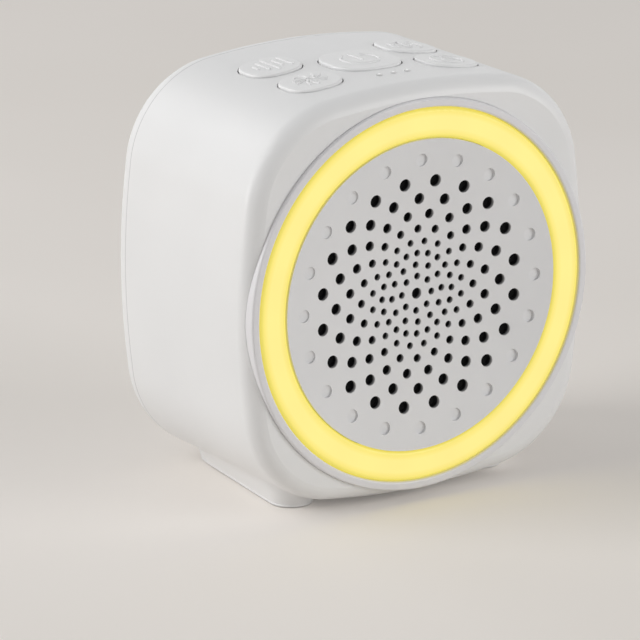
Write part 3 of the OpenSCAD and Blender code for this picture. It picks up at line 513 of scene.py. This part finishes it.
@dataclass(frozen=True)
class PlatedSteel(Finish):
    """Drawn sheet with a nickel plating: a cool mirror blurred by fine drawing lines."""

    line_mm: float = 0.12

    def detail(self, tree: Tree, shader: Node, where: Socket) -> None:
        """Stretched noise makes the drawing lines; small clouds vary the blur."""
        shader.inputs["Metallic"].default_value = 1.0
        drawn = add(tree, "ShaderNodeMapping", {"Vector": where, "Scale": (1.0, 0.08, 1.0)})
        lines = noise(tree, drawn.outputs["Vector"], self.line_mm, 2.0)
        feed(tree, bump(tree, lines, 0.12, 0.01), shader, "Normal")
        rough = spread(tree, noise(tree, where, 1.6, 3.0), self.roughness - 0.06, self.roughness + 0.08)
        feed(tree, rough, shader, "Roughness")
        tone = ramp(tree, noise(tree, where, 6.0), [
            (0.3, shade(self.colour, 0.93)), (0.7, linear(self.colour))])
        feed(tree, tone, shader, "Base Color")


@dataclass(frozen=True)
class PressedPulp(Finish):
    """Paper pulp pressed into a cone and coated: matt, with short raised fibres."""

    fibre_mm: float = 0.5

    def detail(self, tree: Tree, shader: Node, where: Socket) -> None:
        """Distorted noise for the fibres, in tone and bump."""
        fibres = add(tree, "ShaderNodeTexNoise", {
            "Vector": where, "Scale": per_metre(self.fibre_mm), "Detail": 4.0,
            "Distortion": 1.4}).outputs["Fac"]
        tone = ramp(tree, fibres, [(0.35, shade(self.colour, 0.75)), (0.65, linear(self.colour))])
        feed(tree, tone, shader, "Base Color")
        feed(tree, bump(tree, fibres, 0.4, 0.04), shader, "Normal")


@dataclass(frozen=True)
class WoundWire(Finish):
    """Enamelled wire wound side by side: fine rings of copper under amber enamel."""

    wire_mm: float = 0.16

    def detail(self, tree: Tree, shader: Node, where: Socket) -> None:
        """Bands across the coil's axis: each wire in its colour, with painted shade in the grooves between
        the wires.
        """
        shader.inputs["Metallic"].default_value = 0.85
        wires = bands(tree, where, self.wire_mm, "Y")
        # Painted shade: the colour darkens between the wires.
        tone = ramp(tree, wires, [(0.1, shade(self.colour, 0.35)), (0.6, linear(self.colour))])
        feed(tree, tone, shader, "Base Color")
        feed(tree, bump(tree, wires, 0.5, 0.05), shader, "Normal")


@dataclass(frozen=True)
class SinteredFerrite(Finish):
    """Pressed and fired ferrite: dark grey grains whose paler edges are a painted glitter, and a dry
    surface.
    """

    grain_mm: float = 0.2

    def detail(self, tree: Tree, shader: Node, where: Socket) -> None:
        """Grains in the tone and the bump."""
        grains = cells(tree, where, self.grain_mm)
        # Painted glints: the grains' edges are paler than their middles.
        tone = ramp(tree, grains, [(0.2, linear(self.colour)), (0.8, shade(self.colour, 1.5))])
        feed(tree, tone, shader, "Base Color")
        feed(tree, bump(tree, grains, 0.3, 0.02), shader, "Normal")


@dataclass(frozen=True)
class PouchFoil(Finish):
    """Laminated aluminium pouch of a flat cell: soft shine with shallow creases from the sealing."""

    crease_mm: float = 7.0

    def detail(self, tree: Tree, shader: Node, where: Socket) -> None:
        """Broad shallow creases in the bump, slight clouds in the blur."""
        shader.inputs["Metallic"].default_value = 0.9
        creases = noise(tree, where, self.crease_mm, 3.0)
        feed(tree, bump(tree, creases, 0.3, 0.3), shader, "Normal")
        rough = spread(tree, noise(tree, where, 2.2), self.roughness - 0.05, self.roughness + 0.08)
        feed(tree, rough, shader, "Roughness")


# Broad satin highlights on the shells, keys and bezel; the finer the grain, the crisper the shine.
HOUSING_WHITE = ShellPlastic("satin_white_moulded_abs", Slot.WHITE, "#F1F1F1", 0.36)
BEZEL_WHITE = MouldedPlastic(
    "smooth_white_moulded_abs", Slot.WHITE, "#ECEBED", 0.36, grain_mm=0.2, grain_depth_mm=0.006)
KEY_WHITE = MouldedPlastic("satin_white_key_abs", Slot.KEY, "#F4F4F4", 0.34, grain_mm=0.22)
ICON_WHITE = MouldedPlastic(
    "raised_icon_white_abs", Slot.KEY, "#F2F2F2", 0.34, grain_mm=0.2, grain_depth_mm=0.006)

# The grille is duller and a shade greyer than the shells, which lets its dark holes stand out.
GRILLE_GREY = PiercedPlastic("matt_pale_grey_moulded_abs", Slot.GRILLE, "#EAEAEB", 0.5, grain_mm=0.25)

# The ring is the brightest thing on the machine; the pipes on top only prick the surface.
GLOW_YELLOW = LitDiffuser("lit_milky_diffuser", Slot.GLOW, "#A8953C", 0.4, 1.49)
PIPE_CLEAR = LitPipe(
    "milky_moulded_light_pipe", Slot.CLEAR, "#E9E9E8", 0.3, 1.58, milk=0.95, glow=0.6)
LAMP_AMBER = CastResin("amber_cast_lamp_resin", Slot.LAMP, "#F3E08A", 0.2, 1.41, milk=0.85)

# The cloth keeps the holes black; the spider's weave is stiffened with amber resin.
DUST_BLACK = WovenCloth("black_woven_dust_cloth", Slot.CLOTH, "#121212", 0.9)
SPIDER_CLOTH = WovenCloth("amber_woven_spider_cloth", Slot.CLOTH, "#B98A3C", 0.8, gap="#5A3F17")

# Inside: dull blacks and cool metals, with the green boards and the copper coil as the only colours.
BOARD_GREEN = SolderMask("green_masked_glass_fibre", Slot.BOARD, "#12462B", 0.3)
FOAM_BLACK = FoamRubber("black_foam_rubber", Slot.FOAM, "#1B1B1B", 0.85)
PAD_GREY = FoamRubber("dark_moulded_silicone_rubber", Slot.RUBBER, "#3A3A3A", 0.7, 1.41, pore_mm=0.15)
STEEL = PlatedSteel("nickel_plated_drawn_steel", Slot.STEEL, "#C6C6CA", 0.3, 2.5)
PAPER_BLACK = PressedPulp("black_pressed_paper_pulp", Slot.PAPER, "#1C1C1E", 0.75)
WIRE_COPPER = WoundWire("enamelled_wound_copper_wire", Slot.COPPER, "#C9713A", 0.3)
FERRITE = SinteredFerrite("dark_sintered_ferrite", Slot.MAGNET, "#2C2C2E", 0.6, 2.2)
BLACK_PLASTIC = MouldedPlastic("black_moulded_nylon", Slot.BLACK, "#1A1A1B", 0.45)
NYLON = MouldedPlastic("natural_moulded_nylon", Slot.NYLON, "#E4DFCB", 0.4)
CELL_FOIL = PouchFoil("silver_pouch_foil", Slot.FOIL, "#C4C7CC", 0.35, 1.45)


# ---------------------------------------------------------------- mesh helpers


def dress(finish: Finish, *nodes: str) -> None:
    """Give CAD nodes their finish.

    Args:
        finish: The finish.
        *nodes: Names of CAD nodes.
    """
    for name in nodes:
        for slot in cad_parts[name].material_slots:
            slot.material = finish.material()
        log.info("%s: %s", name, finish.name)


def new_piece(name: str, mesh: bmesh.types.BMesh, body: Body, finish: Finish) -> bpy.types.Object:
    """Turn a bmesh in millimetres into a piece that rides on a body.

    Args:
        name: Name of the piece.
        mesh: Its shape in millimetres; it is freed.
        body: The body that it moves with.
        finish: Its finish.

    Returns:
        The new object, at the origin, with its place in its mesh.
    """
    bmesh.ops.scale(mesh, vec=(MM, MM, MM), verts=mesh.verts)
    data = bpy.data.meshes.new(name)
    mesh.to_mesh(data)
    mesh.free()
    data.shade_smooth()
    data.set_sharp_from_angle(angle=math.radians(35))
    data.materials.append(finish.material())
    piece = bpy.data.objects.new(name, data)
    bpy.context.scene.collection.objects.link(piece)
    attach(piece, body.value)
    log.info("%s: %d faces, on %s", name, len(data.polygons), body.value)
    return piece


# ---------------------------------------------------------------- the machine


@dataclass
class Outline:
    """Bowed rounded-square outline of the housing seen from the front, in millimetres.

    Attributes:
        width: Over the sides.
        height: Over top and bottom.
        side_arc: Radius of the bowed sides.
        top_arc: Radius of the bowed top and bottom.
        corner: Radius of the corners.
        middle_z: Height of its middle above the table.
        front_round: Radius of the rounding towards the front plane.
        round_w: Where that rounding begins, towards the front.
    """

    width: float = 86.0
    height: float = 89.2
    side_arc: float = 170.0
    top_arc: float = 160.0
    corner: float = 23.0
    middle_z: float = 45.8
    front_round: float = 4.0
    round_w: float = 22.81
    side_mid: float = field(init=False)
    top_mid: float = field(init=False)
    corner_x: float = field(init=False)
    corner_y: float = field(init=False)

    def __post_init__(self) -> None:
        """Find the middles of the arcs."""
        self.side_mid = self.side_arc - self.width / 2
        self.top_mid = self.top_arc - self.height / 2
        side_reach, top_reach = self.side_arc - self.corner, self.top_arc - self.corner
        gap = math.hypot(self.side_mid, self.top_mid)
        along = (side_reach ** 2 - top_reach ** 2 + gap ** 2) / (2 * gap)
        across = math.sqrt(side_reach ** 2 - along ** 2)
        self.corner_x = (along * self.side_mid + across * self.top_mid) / gap - self.side_mid
        self.corner_y = (across * self.side_mid - along * self.top_mid) / gap

    def underside(self, x: float, w: float) -> float:
        """Height of the housing's underside above the table.

        Args:
            x: Place across, in millimetres.
            w: Place towards the front; near the front plane the underside rounds up.

        Returns:
            The height in millimetres.
        """
        x = abs(x)
        past = min(max(w - self.round_w, 0.0), self.front_round - HAIR)
        inset = self.front_round - math.sqrt(self.front_round ** 2 - past ** 2)
        if x <= self.corner_x * self.top_arc / (self.top_arc - self.corner):
            return self.middle_z + self.top_mid - math.sqrt((self.top_arc - inset) ** 2 - x ** 2)
        corner = self.corner - inset
        reach = min(x - self.corner_x, corner - HAIR)
        return self.middle_z - self.corner_y - math.sqrt(corner ** 2 - reach ** 2)


@dataclass
class Housing:
    """White front shell and rear cover, with the skids' soft blends.

    Lengths are in millimetres and angles in radians.

    Attributes:
        outline: Outline of the shells.
        skid_end_w: Place of the skids' square rear end, towards the front.
        skid_x: Middle of a skid's round front end, across.
        skid_w: The same, towards the front.
        skid_half: Half the width of a skid's foot.
        toe: Turn of the skids, which close in towards the back.
        draft: Lean of their walls from upright.
        foot_z: Height of the foot.
        blend: Size of the fillet from wall to underside.
        blend_share: Most that it may be, as a share of the height between foot and underside.
        least_blend: What is left of it at the rear end, as a share.
        tail: Length over which fillet and rolled edge die out towards the rear end.
        reach: Width of the skin beside the foot.
        skin: How far the skin covers the solids.
        sink: How far its outer edge dips into the underside.
        sink_at: Where that dip begins, beside the foot.
        sink_over: Width over which it comes in.
        roll: Radius of the rolled edge round the foot.
        roll_from: Angle at which the roll begins, under the foot.
        roll_turn: How far it turns.
        roll_z: Height of its middle above the foot.
        tuck: How far it hides in the skid at the rear end.
        wall_at: Where the skin starts up the wall, beside the foot.
        crowd: Power that crowds the columns towards the foot.
        overrun: Length of the rows as a share of the skid's, before they are cut off at its end.
        rows_along: Rows along each side.
        rows_round: Rows round the front end.
        columns_rolled: Columns of the rolled edge.
        columns_up: Columns above it.
    """

    outline: Outline = field(default_factory=Outline)
    skid_end_w: float = -20.15
    skid_x: float = 24.2
    skid_w: float = 13.85
    skid_half: float = 4.5
    toe: float = math.radians(6)
    draft: float = math.radians(15)
    foot_z: float = 0.25
    blend: float = 6.2
    blend_share: float = 2.2
    least_blend: float = 0.02
    tail: float = 4.0
    reach: float = 6.5
    skin: float = 0.03
    sink: float = 0.12
    sink_at: float = 4.6
    sink_over: float = 1.6
    roll: float = 0.3
    roll_from: float = math.radians(-100)
    roll_turn: float = math.radians(160)
    roll_z: float = 0.19
    tuck: float = 0.05
    wall_at: float = 0.16
    crowd: float = 1.25
    overrun: float = 1.25
    rows_along: int = 26
    rows_round: int = 36
    columns_rolled: int = 9
    columns_up: int = 22

    def skid_blend(self, side: int) -> bmesh.types.BMesh:
        """Rolled foot edge of one skid, and the fillet skin from it up to the housing.

        Args:
            side: 1 for the right skid, -1 for the left one.

        Returns:
            The skin in millimetres. Its rows run round the skid's round front end and along both its
            sides, and its columns run round the foot's edge and up and out under the housing.
        """
        mesh = bmesh.new()
        rows = 2 * self.rows_along + self.rows_round
        columns = self.columns_rolled + self.columns_up
        bmesh.ops.create_grid(mesh, x_segments=rows, y_segments=columns, size=1.0)
        for vert in mesh.verts:
            row = round((vert.co.x + 1) / 2 * rows)
            column = round((vert.co.y + 1) / 2 * columns)
            point = self.rolled_point if column < self.columns_rolled else self.fillet_point
            vert.co = point(row, column)
            vert.co.x *= side
        return mesh

    def rolled_point(self, row: int, column: int) -> Vector:
        """Point of the right skid's rolled edge, in one row and column."""
        turned = self.roll_from + self.roll_turn * column / (self.columns_rolled - 1)
        out = self.roll * math.cos(turned)
        ending = self.ending(self.beside_skid(row, self.skid_half + out).y)
        out = (out + self.tuck) * ending - self.tuck
        place = self.beside_skid(row, self.skid_half + out)
        return Vector((*place, self.foot_z + self.roll_z + self.roll * math.sin(turned)))

    def fillet_point(self, row: int, column: int) -> Vector:
        """Point of the right skid's fillet skin, in one row and column."""
        share = (column - self.columns_rolled) / self.columns_up
        out = self.wall_at + (self.reach - self.wall_at) * share ** self.crowd
        place = self.beside_skid(row, self.skid_half + out)
        wall = self.foot_z + out / math.tan(self.draft)
        under = self.outline.underside(place.x, -place.y)
        blend = min(self.blend, self.blend_share * (under - self.foot_z))
        blend *= max(self.least_blend, self.ending(place.y))
        gap = max(blend - abs(wall - under), 0.0) / blend
        sunk = max(0.0, min(1.0, (out - self.sink_at) / self.sink_over))
        low = min(wall, under) - gap * gap * blend / 4 + sunk * self.sink - (1 - sunk) * self.skin
        return Vector((*place, low))

    def ending(self, y: float) -> float:
        """One along the skid, falling to nought at its rear end; y is towards the back."""
        return max(0.0, min(1.0, (-self.skid_end_w - y) / self.tail))

    def beside_skid(self, row: int, out: float) -> Vector:
        """Place beside the right skid, cut off at the skid's rear end.

        Args:
            row: Row of the skin, from the rear of one side round the front end to the other's rear.
            out: Distance from the skid's middle line.

        Returns:
            The place, across and towards the back.
        """
        length = self.overrun * (self.skid_w - self.skid_end_w) / math.cos(self.toe)
        turned = row - self.rows_along
        past = turned - self.rows_round
        if turned < 0:
            local = Vector((out, length * -turned / self.rows_along))
        elif past <= 0:
            angle = math.pi * turned / self.rows_round
            local = Vector((out * math.cos(angle), -out * math.sin(angle)))
        else:
            local = Vector((-out, length * past / self.rows_along))
        x = self.skid_x + local.x * math.cos(self.toe) - local.y * math.sin(self.toe)
        y = -self.skid_w + local.x * math.sin(self.toe) + local.y * math.cos(self.toe)
        if y > -self.skid_end_w:
            x += (y + self.skid_end_w) * math.tan(self.toe)
            y = -self.skid_end_w
        return Vector((x, y))

    def build(self) -> None:
        """Dress both shells and lay the blends over the skids' roots."""
        dress(HOUSING_WHITE, "front_housing", "rear_cover")
        for side, name in ((-1, "left_skid_blend"), (1, "right_skid_blend")):
            mesh = self.skid_blend(side)
            bmesh.ops.recalc_face_normals(mesh, faces=mesh.faces)
            if sum(face.normal.z for face in mesh.faces) > 0:
                bmesh.ops.reverse_faces(mesh, faces=mesh.faces)
            new_piece(name, mesh, Body.CASING, HOUSING_WHITE)
        dress(PAD_GREY, "foot_pads")
        dress(STEEL, "rear_cover_screws")


@dataclass
class FrontStack:
    """Bezel, lit ring, grille and the dust cloth behind it."""

    def build(self) -> None:
        """Dress the front's parts."""
        dress(BEZEL_WHITE, "bezel_ring")
        dress(GLOW_YELLOW, "light_ring")
        dress(GRILLE_GREY, "speaker_grille")
        dress(DUST_BLACK, "grille_cloth")
        dress(BOARD_GREEN, "led_board")
        dress(LAMP_AMBER, "ring_leds")


@dataclass
class Key:
    """One key with its raised icon.

    Attributes:
        name: Name of its CAD node without the ending.
        body: The body that it moves with.
        x: Place across the top in millimetres.
        w: Place towards the front in millimetres.
        icon: What the icon shows.
        strokes: Lines of the icon on the key's top, in millimetres from its middle.
        top_axis_z: Height of the axis that the top is bowed about.
        top_arc: Radius of that bow.
        proud: How far the key stands out of the top.
        stroke_r: Radius of the icon's beads.
    """

    name: str
    body: Body
    x: float
    w: float
    icon: str
    strokes: list[Stroke]
    top_axis_z: float = -69.6
    top_arc: float = 160.0
    proud: float = 0.5
    stroke_r: float = 0.28

    def on_top(self, across: float, along: float) -> Vector:
        """Point on the key's top, across and towards the back, in millimetres."""
        tilt = math.asin(self.x / self.top_arc)
        reach = self.top_arc + self.proud
        x = reach * math.sin(tilt) + across * math.cos(tilt)
        z = self.top_axis_z + reach * math.cos(tilt) - across * math.sin(tilt)
        return Vector((x, -self.w + along, z))

    def build(self) -> None:
        """Dress the cap and lay the icon's strokes on it."""
        dress(KEY_WHITE, self.name + "_key")
        dress(BLACK_PLASTIC, self.name + "_plunger")
        mesh = bmesh.new()
        for stroke in self.strokes:
            self.add_stroke(mesh, stroke)
        new_piece(f"{self.name}_{self.icon}_icon", mesh, self.body, ICON_WHITE)

    def add_stroke(self, mesh: bmesh.types.BMesh, stroke: Stroke) -> None:
        """Sweep a round bead along one line of the icon, sunk to its middle in the key's top."""
        curve = bpy.data.curves.new("stroke", "CURVE")
        curve.dimensions = "3D"
        curve.bevel_depth = self.stroke_r
        curve.bevel_resolution = 2
        curve.use_fill_caps = True
        closed = len(stroke) > 2 and stroke[0] == stroke[-1]
        points = stroke[:-1] if closed else stroke
        spline = curve.splines.new("POLY")
        spline.points.add(len(points) - 1)
        for point, (across, along) in zip(spline.points, points):
            point.co = (*self.on_top(across, along), 1.0)
        spline.use_cyclic_u = closed
        holder = bpy.data.objects.new("stroke", curve)
        data = bpy.data.meshes.new_from_object(holder)
        mesh.from_mesh(data)
        bpy.data.objects.remove(holder)
        bpy.data.curves.remove(curve)
        bpy.data.meshes.remove(data)


def arc(cx: float, cy: float, radius: float, start: float, end: float, steps: int = 20) -> Stroke:
    """Points of an arc.

    Args:
        cx: Middle of the arc, across the key.
        cy: The same, towards the back.
        radius: Its radius.
        start: Angle of the first point in degrees, 0 to the right and 90 to the back.
        end: Angle of the last point; a full turn on from the start closes the line.
        steps: Pieces that it is cut into.

    Returns:
        The points.
    """
    angles = [math.radians(start + (end - start) * i / steps) for i in range(steps + 1)]
    points = [(cx + radius * math.cos(angle), cy + radius * math.sin(angle)) for angle in angles]
    if abs(end - start) >= 359.9:
        points[-1] = points[0]
    return points


def power_strokes() -> list[Stroke]:
    """Circle open at the back, with a bar in the gap."""
    return [arc(0, 0, 4.1, 122, 418, 34), [(0, -1.2), (0, 4.7)]]


def bars_strokes() -> list[Stroke]:
    """Five bars of a sound level."""
    halves, first, pitch, middle = (1.2, 2.9, 4.0, 2.1, 3.2), -3.2, 1.8, 0.6
    return [[(first + pitch * i, middle - half), (first + pitch * i, middle + half)]
            for i, half in enumerate(halves)]


def fan_strokes() -> list[Stroke]:
    """Hub of a fan with five curved blades, each of two lines."""
    cx, cy, hub, blades, width, twist = 0.4, 0.6, 0.9, 5, 0.75, 0.16
    reaches = [hub + 0.35 * step for step in range(9)]
    strokes = [arc(cx, cy, hub, 0, 360, 18)]
    for blade in range(blades):
        root = math.radians(360 / blades * blade + 18)
        for line in (root, root + width):
            strokes.append([(cx + reach * math.cos(line + twist * reach),
                             cy + reach * math.sin(line + twist * reach)) for reach in reaches])
    return strokes


def loudspeaker_strokes() -> list[Stroke]:
    """Loudspeaker cone with two sound arcs."""
    return [[(-3.9, -1.1), (-2.5, -1.1), (-0.5, -2.9), (-0.5, 2.9), (-2.5, 1.1), (-3.9, 1.1), (-3.9, -1.1)],
            arc(-0.3, 0, 1.8, -50, 50, 10), arc(-0.3, 0, 3.7, -50, 50, 14)]


def clock_strokes() -> list[Stroke]:
    """Clock face with two hands."""
    return [arc(0, 0, 3.5, 0, 360, 32), [(0, 2.2), (0, 0), (1.7, -0.8)]]


@dataclass
class Keypad:
    """Five keys, the three dots ahead of the power key and what is under them.

    Attributes:
        outer_x: Middle of the outer keys, across.
        power_w: Middle of the power key, towards the front.
        rear_w: Middle of the rear keys, towards the front.
        front_w: Middle of the front keys, towards the front.
    """

    outer_x: float = 17.1
    power_w: float = 3.55
    rear_w: float = -4.75
    front_w: float = 10.65

    def keys(self) -> list[Key]:
        """The five keys with their icons."""
        return [
            Key("power", Body.POWER, 0.0, self.power_w, "power", power_strokes()),
            Key("rear_left", Body.REAR_LEFT, -self.outer_x, self.rear_w, "sound", bars_strokes()),
            Key("front_left", Body.FRONT_LEFT, -self.outer_x, self.front_w, "fan", fan_strokes()),
            Key("rear_right", Body.REAR_RIGHT, self.outer_x, self.rear_w, "volume", loudspeaker_strokes()),
            Key("front_right", Body.FRONT_RIGHT, self.outer_x, self.front_w, "timer", clock_strokes())]

    def build(self) -> None:
        """Build each key and dress the rest."""
        for key in self.keys():
            key.build()
        dress(PIPE_CLEAR, "indicator_light_pipes")
        dress(LAMP_AMBER, "indicator_leds")
        dress(BOARD_GREEN, "button_board")
        dress(BLACK_PLASTIC, "tact_switches")
        dress(STEEL, "button_board_screws")


@dataclass
class Driver:
    """The loudspeaker behind the grille."""

    def build(self) -> None:
        """Dress the driver's parts."""
        dress(FOAM_BLACK, "speaker_gasket", "speaker_surround")
        dress(STEEL, "speaker_frame", "speaker_yoke", "speaker_screws")
        dress(SPIDER_CLOTH, "speaker_spider")
        dress(PAPER_BLACK, "speaker_cone", "dust_cap")
        dress(WIRE_COPPER, "voice_coil")
        dress(FERRITE, "speaker_magnet")


@dataclass
class Electronics:
    """Main board, charging socket and battery."""

    def build(self) -> None:
        """Dress the boards, the socket and the cell."""
        dress(BOARD_GREEN, "main_board")
        dress(BLACK_PLASTIC, "control_chip", "amplifier_chip")
        dress(NYLON, "board_connectors")
        dress(STEEL, "board_screws", "usb_socket")
        dress(CELL_FOIL, "battery")
        dress(FOAM_BLACK, "battery_tape")


# ---------------------------------------------------------------- studio


@dataclass(frozen=True)
class Lamp:
    """One soft box, aimed at the machine.

    Attributes:
        name: Its name.
        azimuth: Direction in degrees, 0 in front and 90 to the right.
        elevation: Degrees above the table.
        level: Light on a surface that faces it; 1 shows colours as written.
        size: Side of the box in metres.
        distance: From the machine in metres.
    """

    name: str
    azimuth: float
    elevation: float
    level: float
    size: float = 0.9
    distance: float = 1.4

    def place(self, target: Vector) -> None:
        """Put the soft box up."""
        turn, rise = math.radians(self.azimuth), math.radians(self.elevation)
        way = Vector((math.sin(turn) * math.cos(rise), -math.cos(turn) * math.cos(rise), math.sin(rise)))
        data = bpy.data.lights.new(self.name, "AREA")
        data.shape = "SQUARE"
        data.size = self.size
        data.energy = self.level * math.pi ** 2 * self.distance ** 2
        lamp = bpy.data.objects.new(self.name, data)
        lamp.location = target + way * self.distance
        lamp.rotation_euler = way.to_track_quat("Z", "Y").to_euler()
        lamp.visible_camera = False
        bpy.context.scene.collection.objects.link(lamp)


@dataclass
class Studio:
    """Pale floor, soft light and the camera at the photograph's angle.

    Attributes:
        lamps: The soft boxes.
        target: What they are aimed at.
        azimuth: Direction of the camera in degrees, as for a lamp.
        elevation: Its height in degrees.
        camera_place: Its place.
        focal_px: Its focal length in picture points.
        image_px: Width of the picture in points.
        paper: Darker and paler tone of the floor's paper.
        paper_lift: Light of its own that the paper has for the camera.
        ambient: Level of the even light from all round.
    """

    lamps: tuple[Lamp, ...] = (
        Lamp("high_left_soft_box", -112.0, 38.0, 0.33),
        Lamp("low_left_soft_box", -118.0, 5.0, 0.27, 0.6),
        Lamp("rear_left_soft_box", -160.0, 30.0, 0.07, 0.6),
        Lamp("front_soft_box", 38.0, 14.0, 0.39))
    target: Vector = field(default_factory=lambda: Vector((0.0, 0.0, 0.045)))
    azimuth: float = -33.173
    elevation: float = 16.503
    camera_place: tuple[float, float, float] = (-0.569104, -0.858779, 0.337858)
    focal_px: float = 5009.25
    image_px: float = 640.0
    paper: tuple[str, str] = ("#E9E4DE", "#EFEAE5")
    paper_lift: float = 0.12
    ambient: float = 0.33

    def camera(self) -> None:
        """Set up the camera as fitted to the photograph."""
        data = bpy.data.cameras.new("photo_camera")
        data.sensor_width = 36.0
        data.lens = self.focal_px / self.image_px * data.sensor_width
        data.clip_start, data.clip_end = 0.05, 30.0
        turn, rise = math.radians(self.azimuth), math.radians(self.elevation)
        right = Vector((math.cos(turn), math.sin(turn), 0.0))
        back = Vector((math.sin(turn) * math.cos(rise), -math.cos(turn) * math.cos(rise), math.sin(rise)))
        up = back.cross(right)
        camera = bpy.data.objects.new("photo_camera", data)
        camera.matrix_world = Matrix.Translation(self.camera_place) @ Matrix(
            (right, up, back)).transposed().to_4x4()
        bpy.context.scene.collection.objects.link(camera)
        bpy.context.scene.camera = camera

    def floor_material(self) -> bpy.types.Material:
        """Pale matt paper sweep: faint tone clouds, and a pale face to the camera with the shadow kept."""
        made = bpy.data.materials.new("pale_matt_paper_sweep")
        made.use_nodes = True
        tree = made.node_tree
        tree.nodes.clear()
        where = add(tree, "ShaderNodeTexCoord").outputs["Object"]
        dark, pale = self.paper
        tone = ramp(tree, noise(tree, where, 180.0), [(0.3, linear(dark)), (0.7, linear(pale))])
        matt = add(tree, "ShaderNodeBsdfDiffuse", {"Color": tone})
        level = compute(tree, "MULTIPLY", seen_directly(tree), self.paper_lift)
        lift = add(tree, "ShaderNodeEmission", {"Color": linear(pale), "Strength": level})
        both = add(tree, "ShaderNodeAddShader", {0: matt.outputs[0], 1: lift.outputs[0]})
        add(tree, "ShaderNodeOutputMaterial", {"Surface": both.outputs[0]})
        return made

    def floor(self) -> None:
        """Lay the floor."""
        mesh = bmesh.new()
        bmesh.ops.create_grid(mesh, x_segments=8, y_segments=8, size=4.0)
        data = bpy.data.meshes.new("floor")
        mesh.to_mesh(data)
        mesh.free()
        data.materials.append(self.floor_material())
        floor = bpy.data.objects.new("floor", data)
        bpy.context.scene.collection.objects.link(floor)

    def world(self) -> None:
        """Even light from all round; the camera, gloss and glass see white."""
        world = bpy.data.worlds.new("studio")
        bpy.context.scene.world = world
        world.use_nodes = True
        tree = world.node_tree
        tree.nodes.clear()
        level = spread(tree, seen_directly(tree), self.ambient, 1.0, 0.0, 1.0)
        light = add(tree, "ShaderNodeBackground", {"Color": (1.0, 1.0, 1.0, 1.0), "Strength": level})
        add(tree, "ShaderNodeOutputWorld", {"Surface": light.outputs[0]})

    def build(self) -> None:
        """Put up floor, world, lamps and camera."""
        self.camera()
        self.floor()
        self.world()
        for lamp in self.lamps:
            lamp.place(self.target)
        bpy.context.scene.view_settings.view_transform = "Standard"


def main() -> None:
    """Build the machine's dress and the studio, in order."""
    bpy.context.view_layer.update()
    Studio().build()
    Housing().build()
    FrontStack().build()
    Keypad().build()
    Driver().build()
    Electronics().build()


if __name__ == "__main__":
    main()
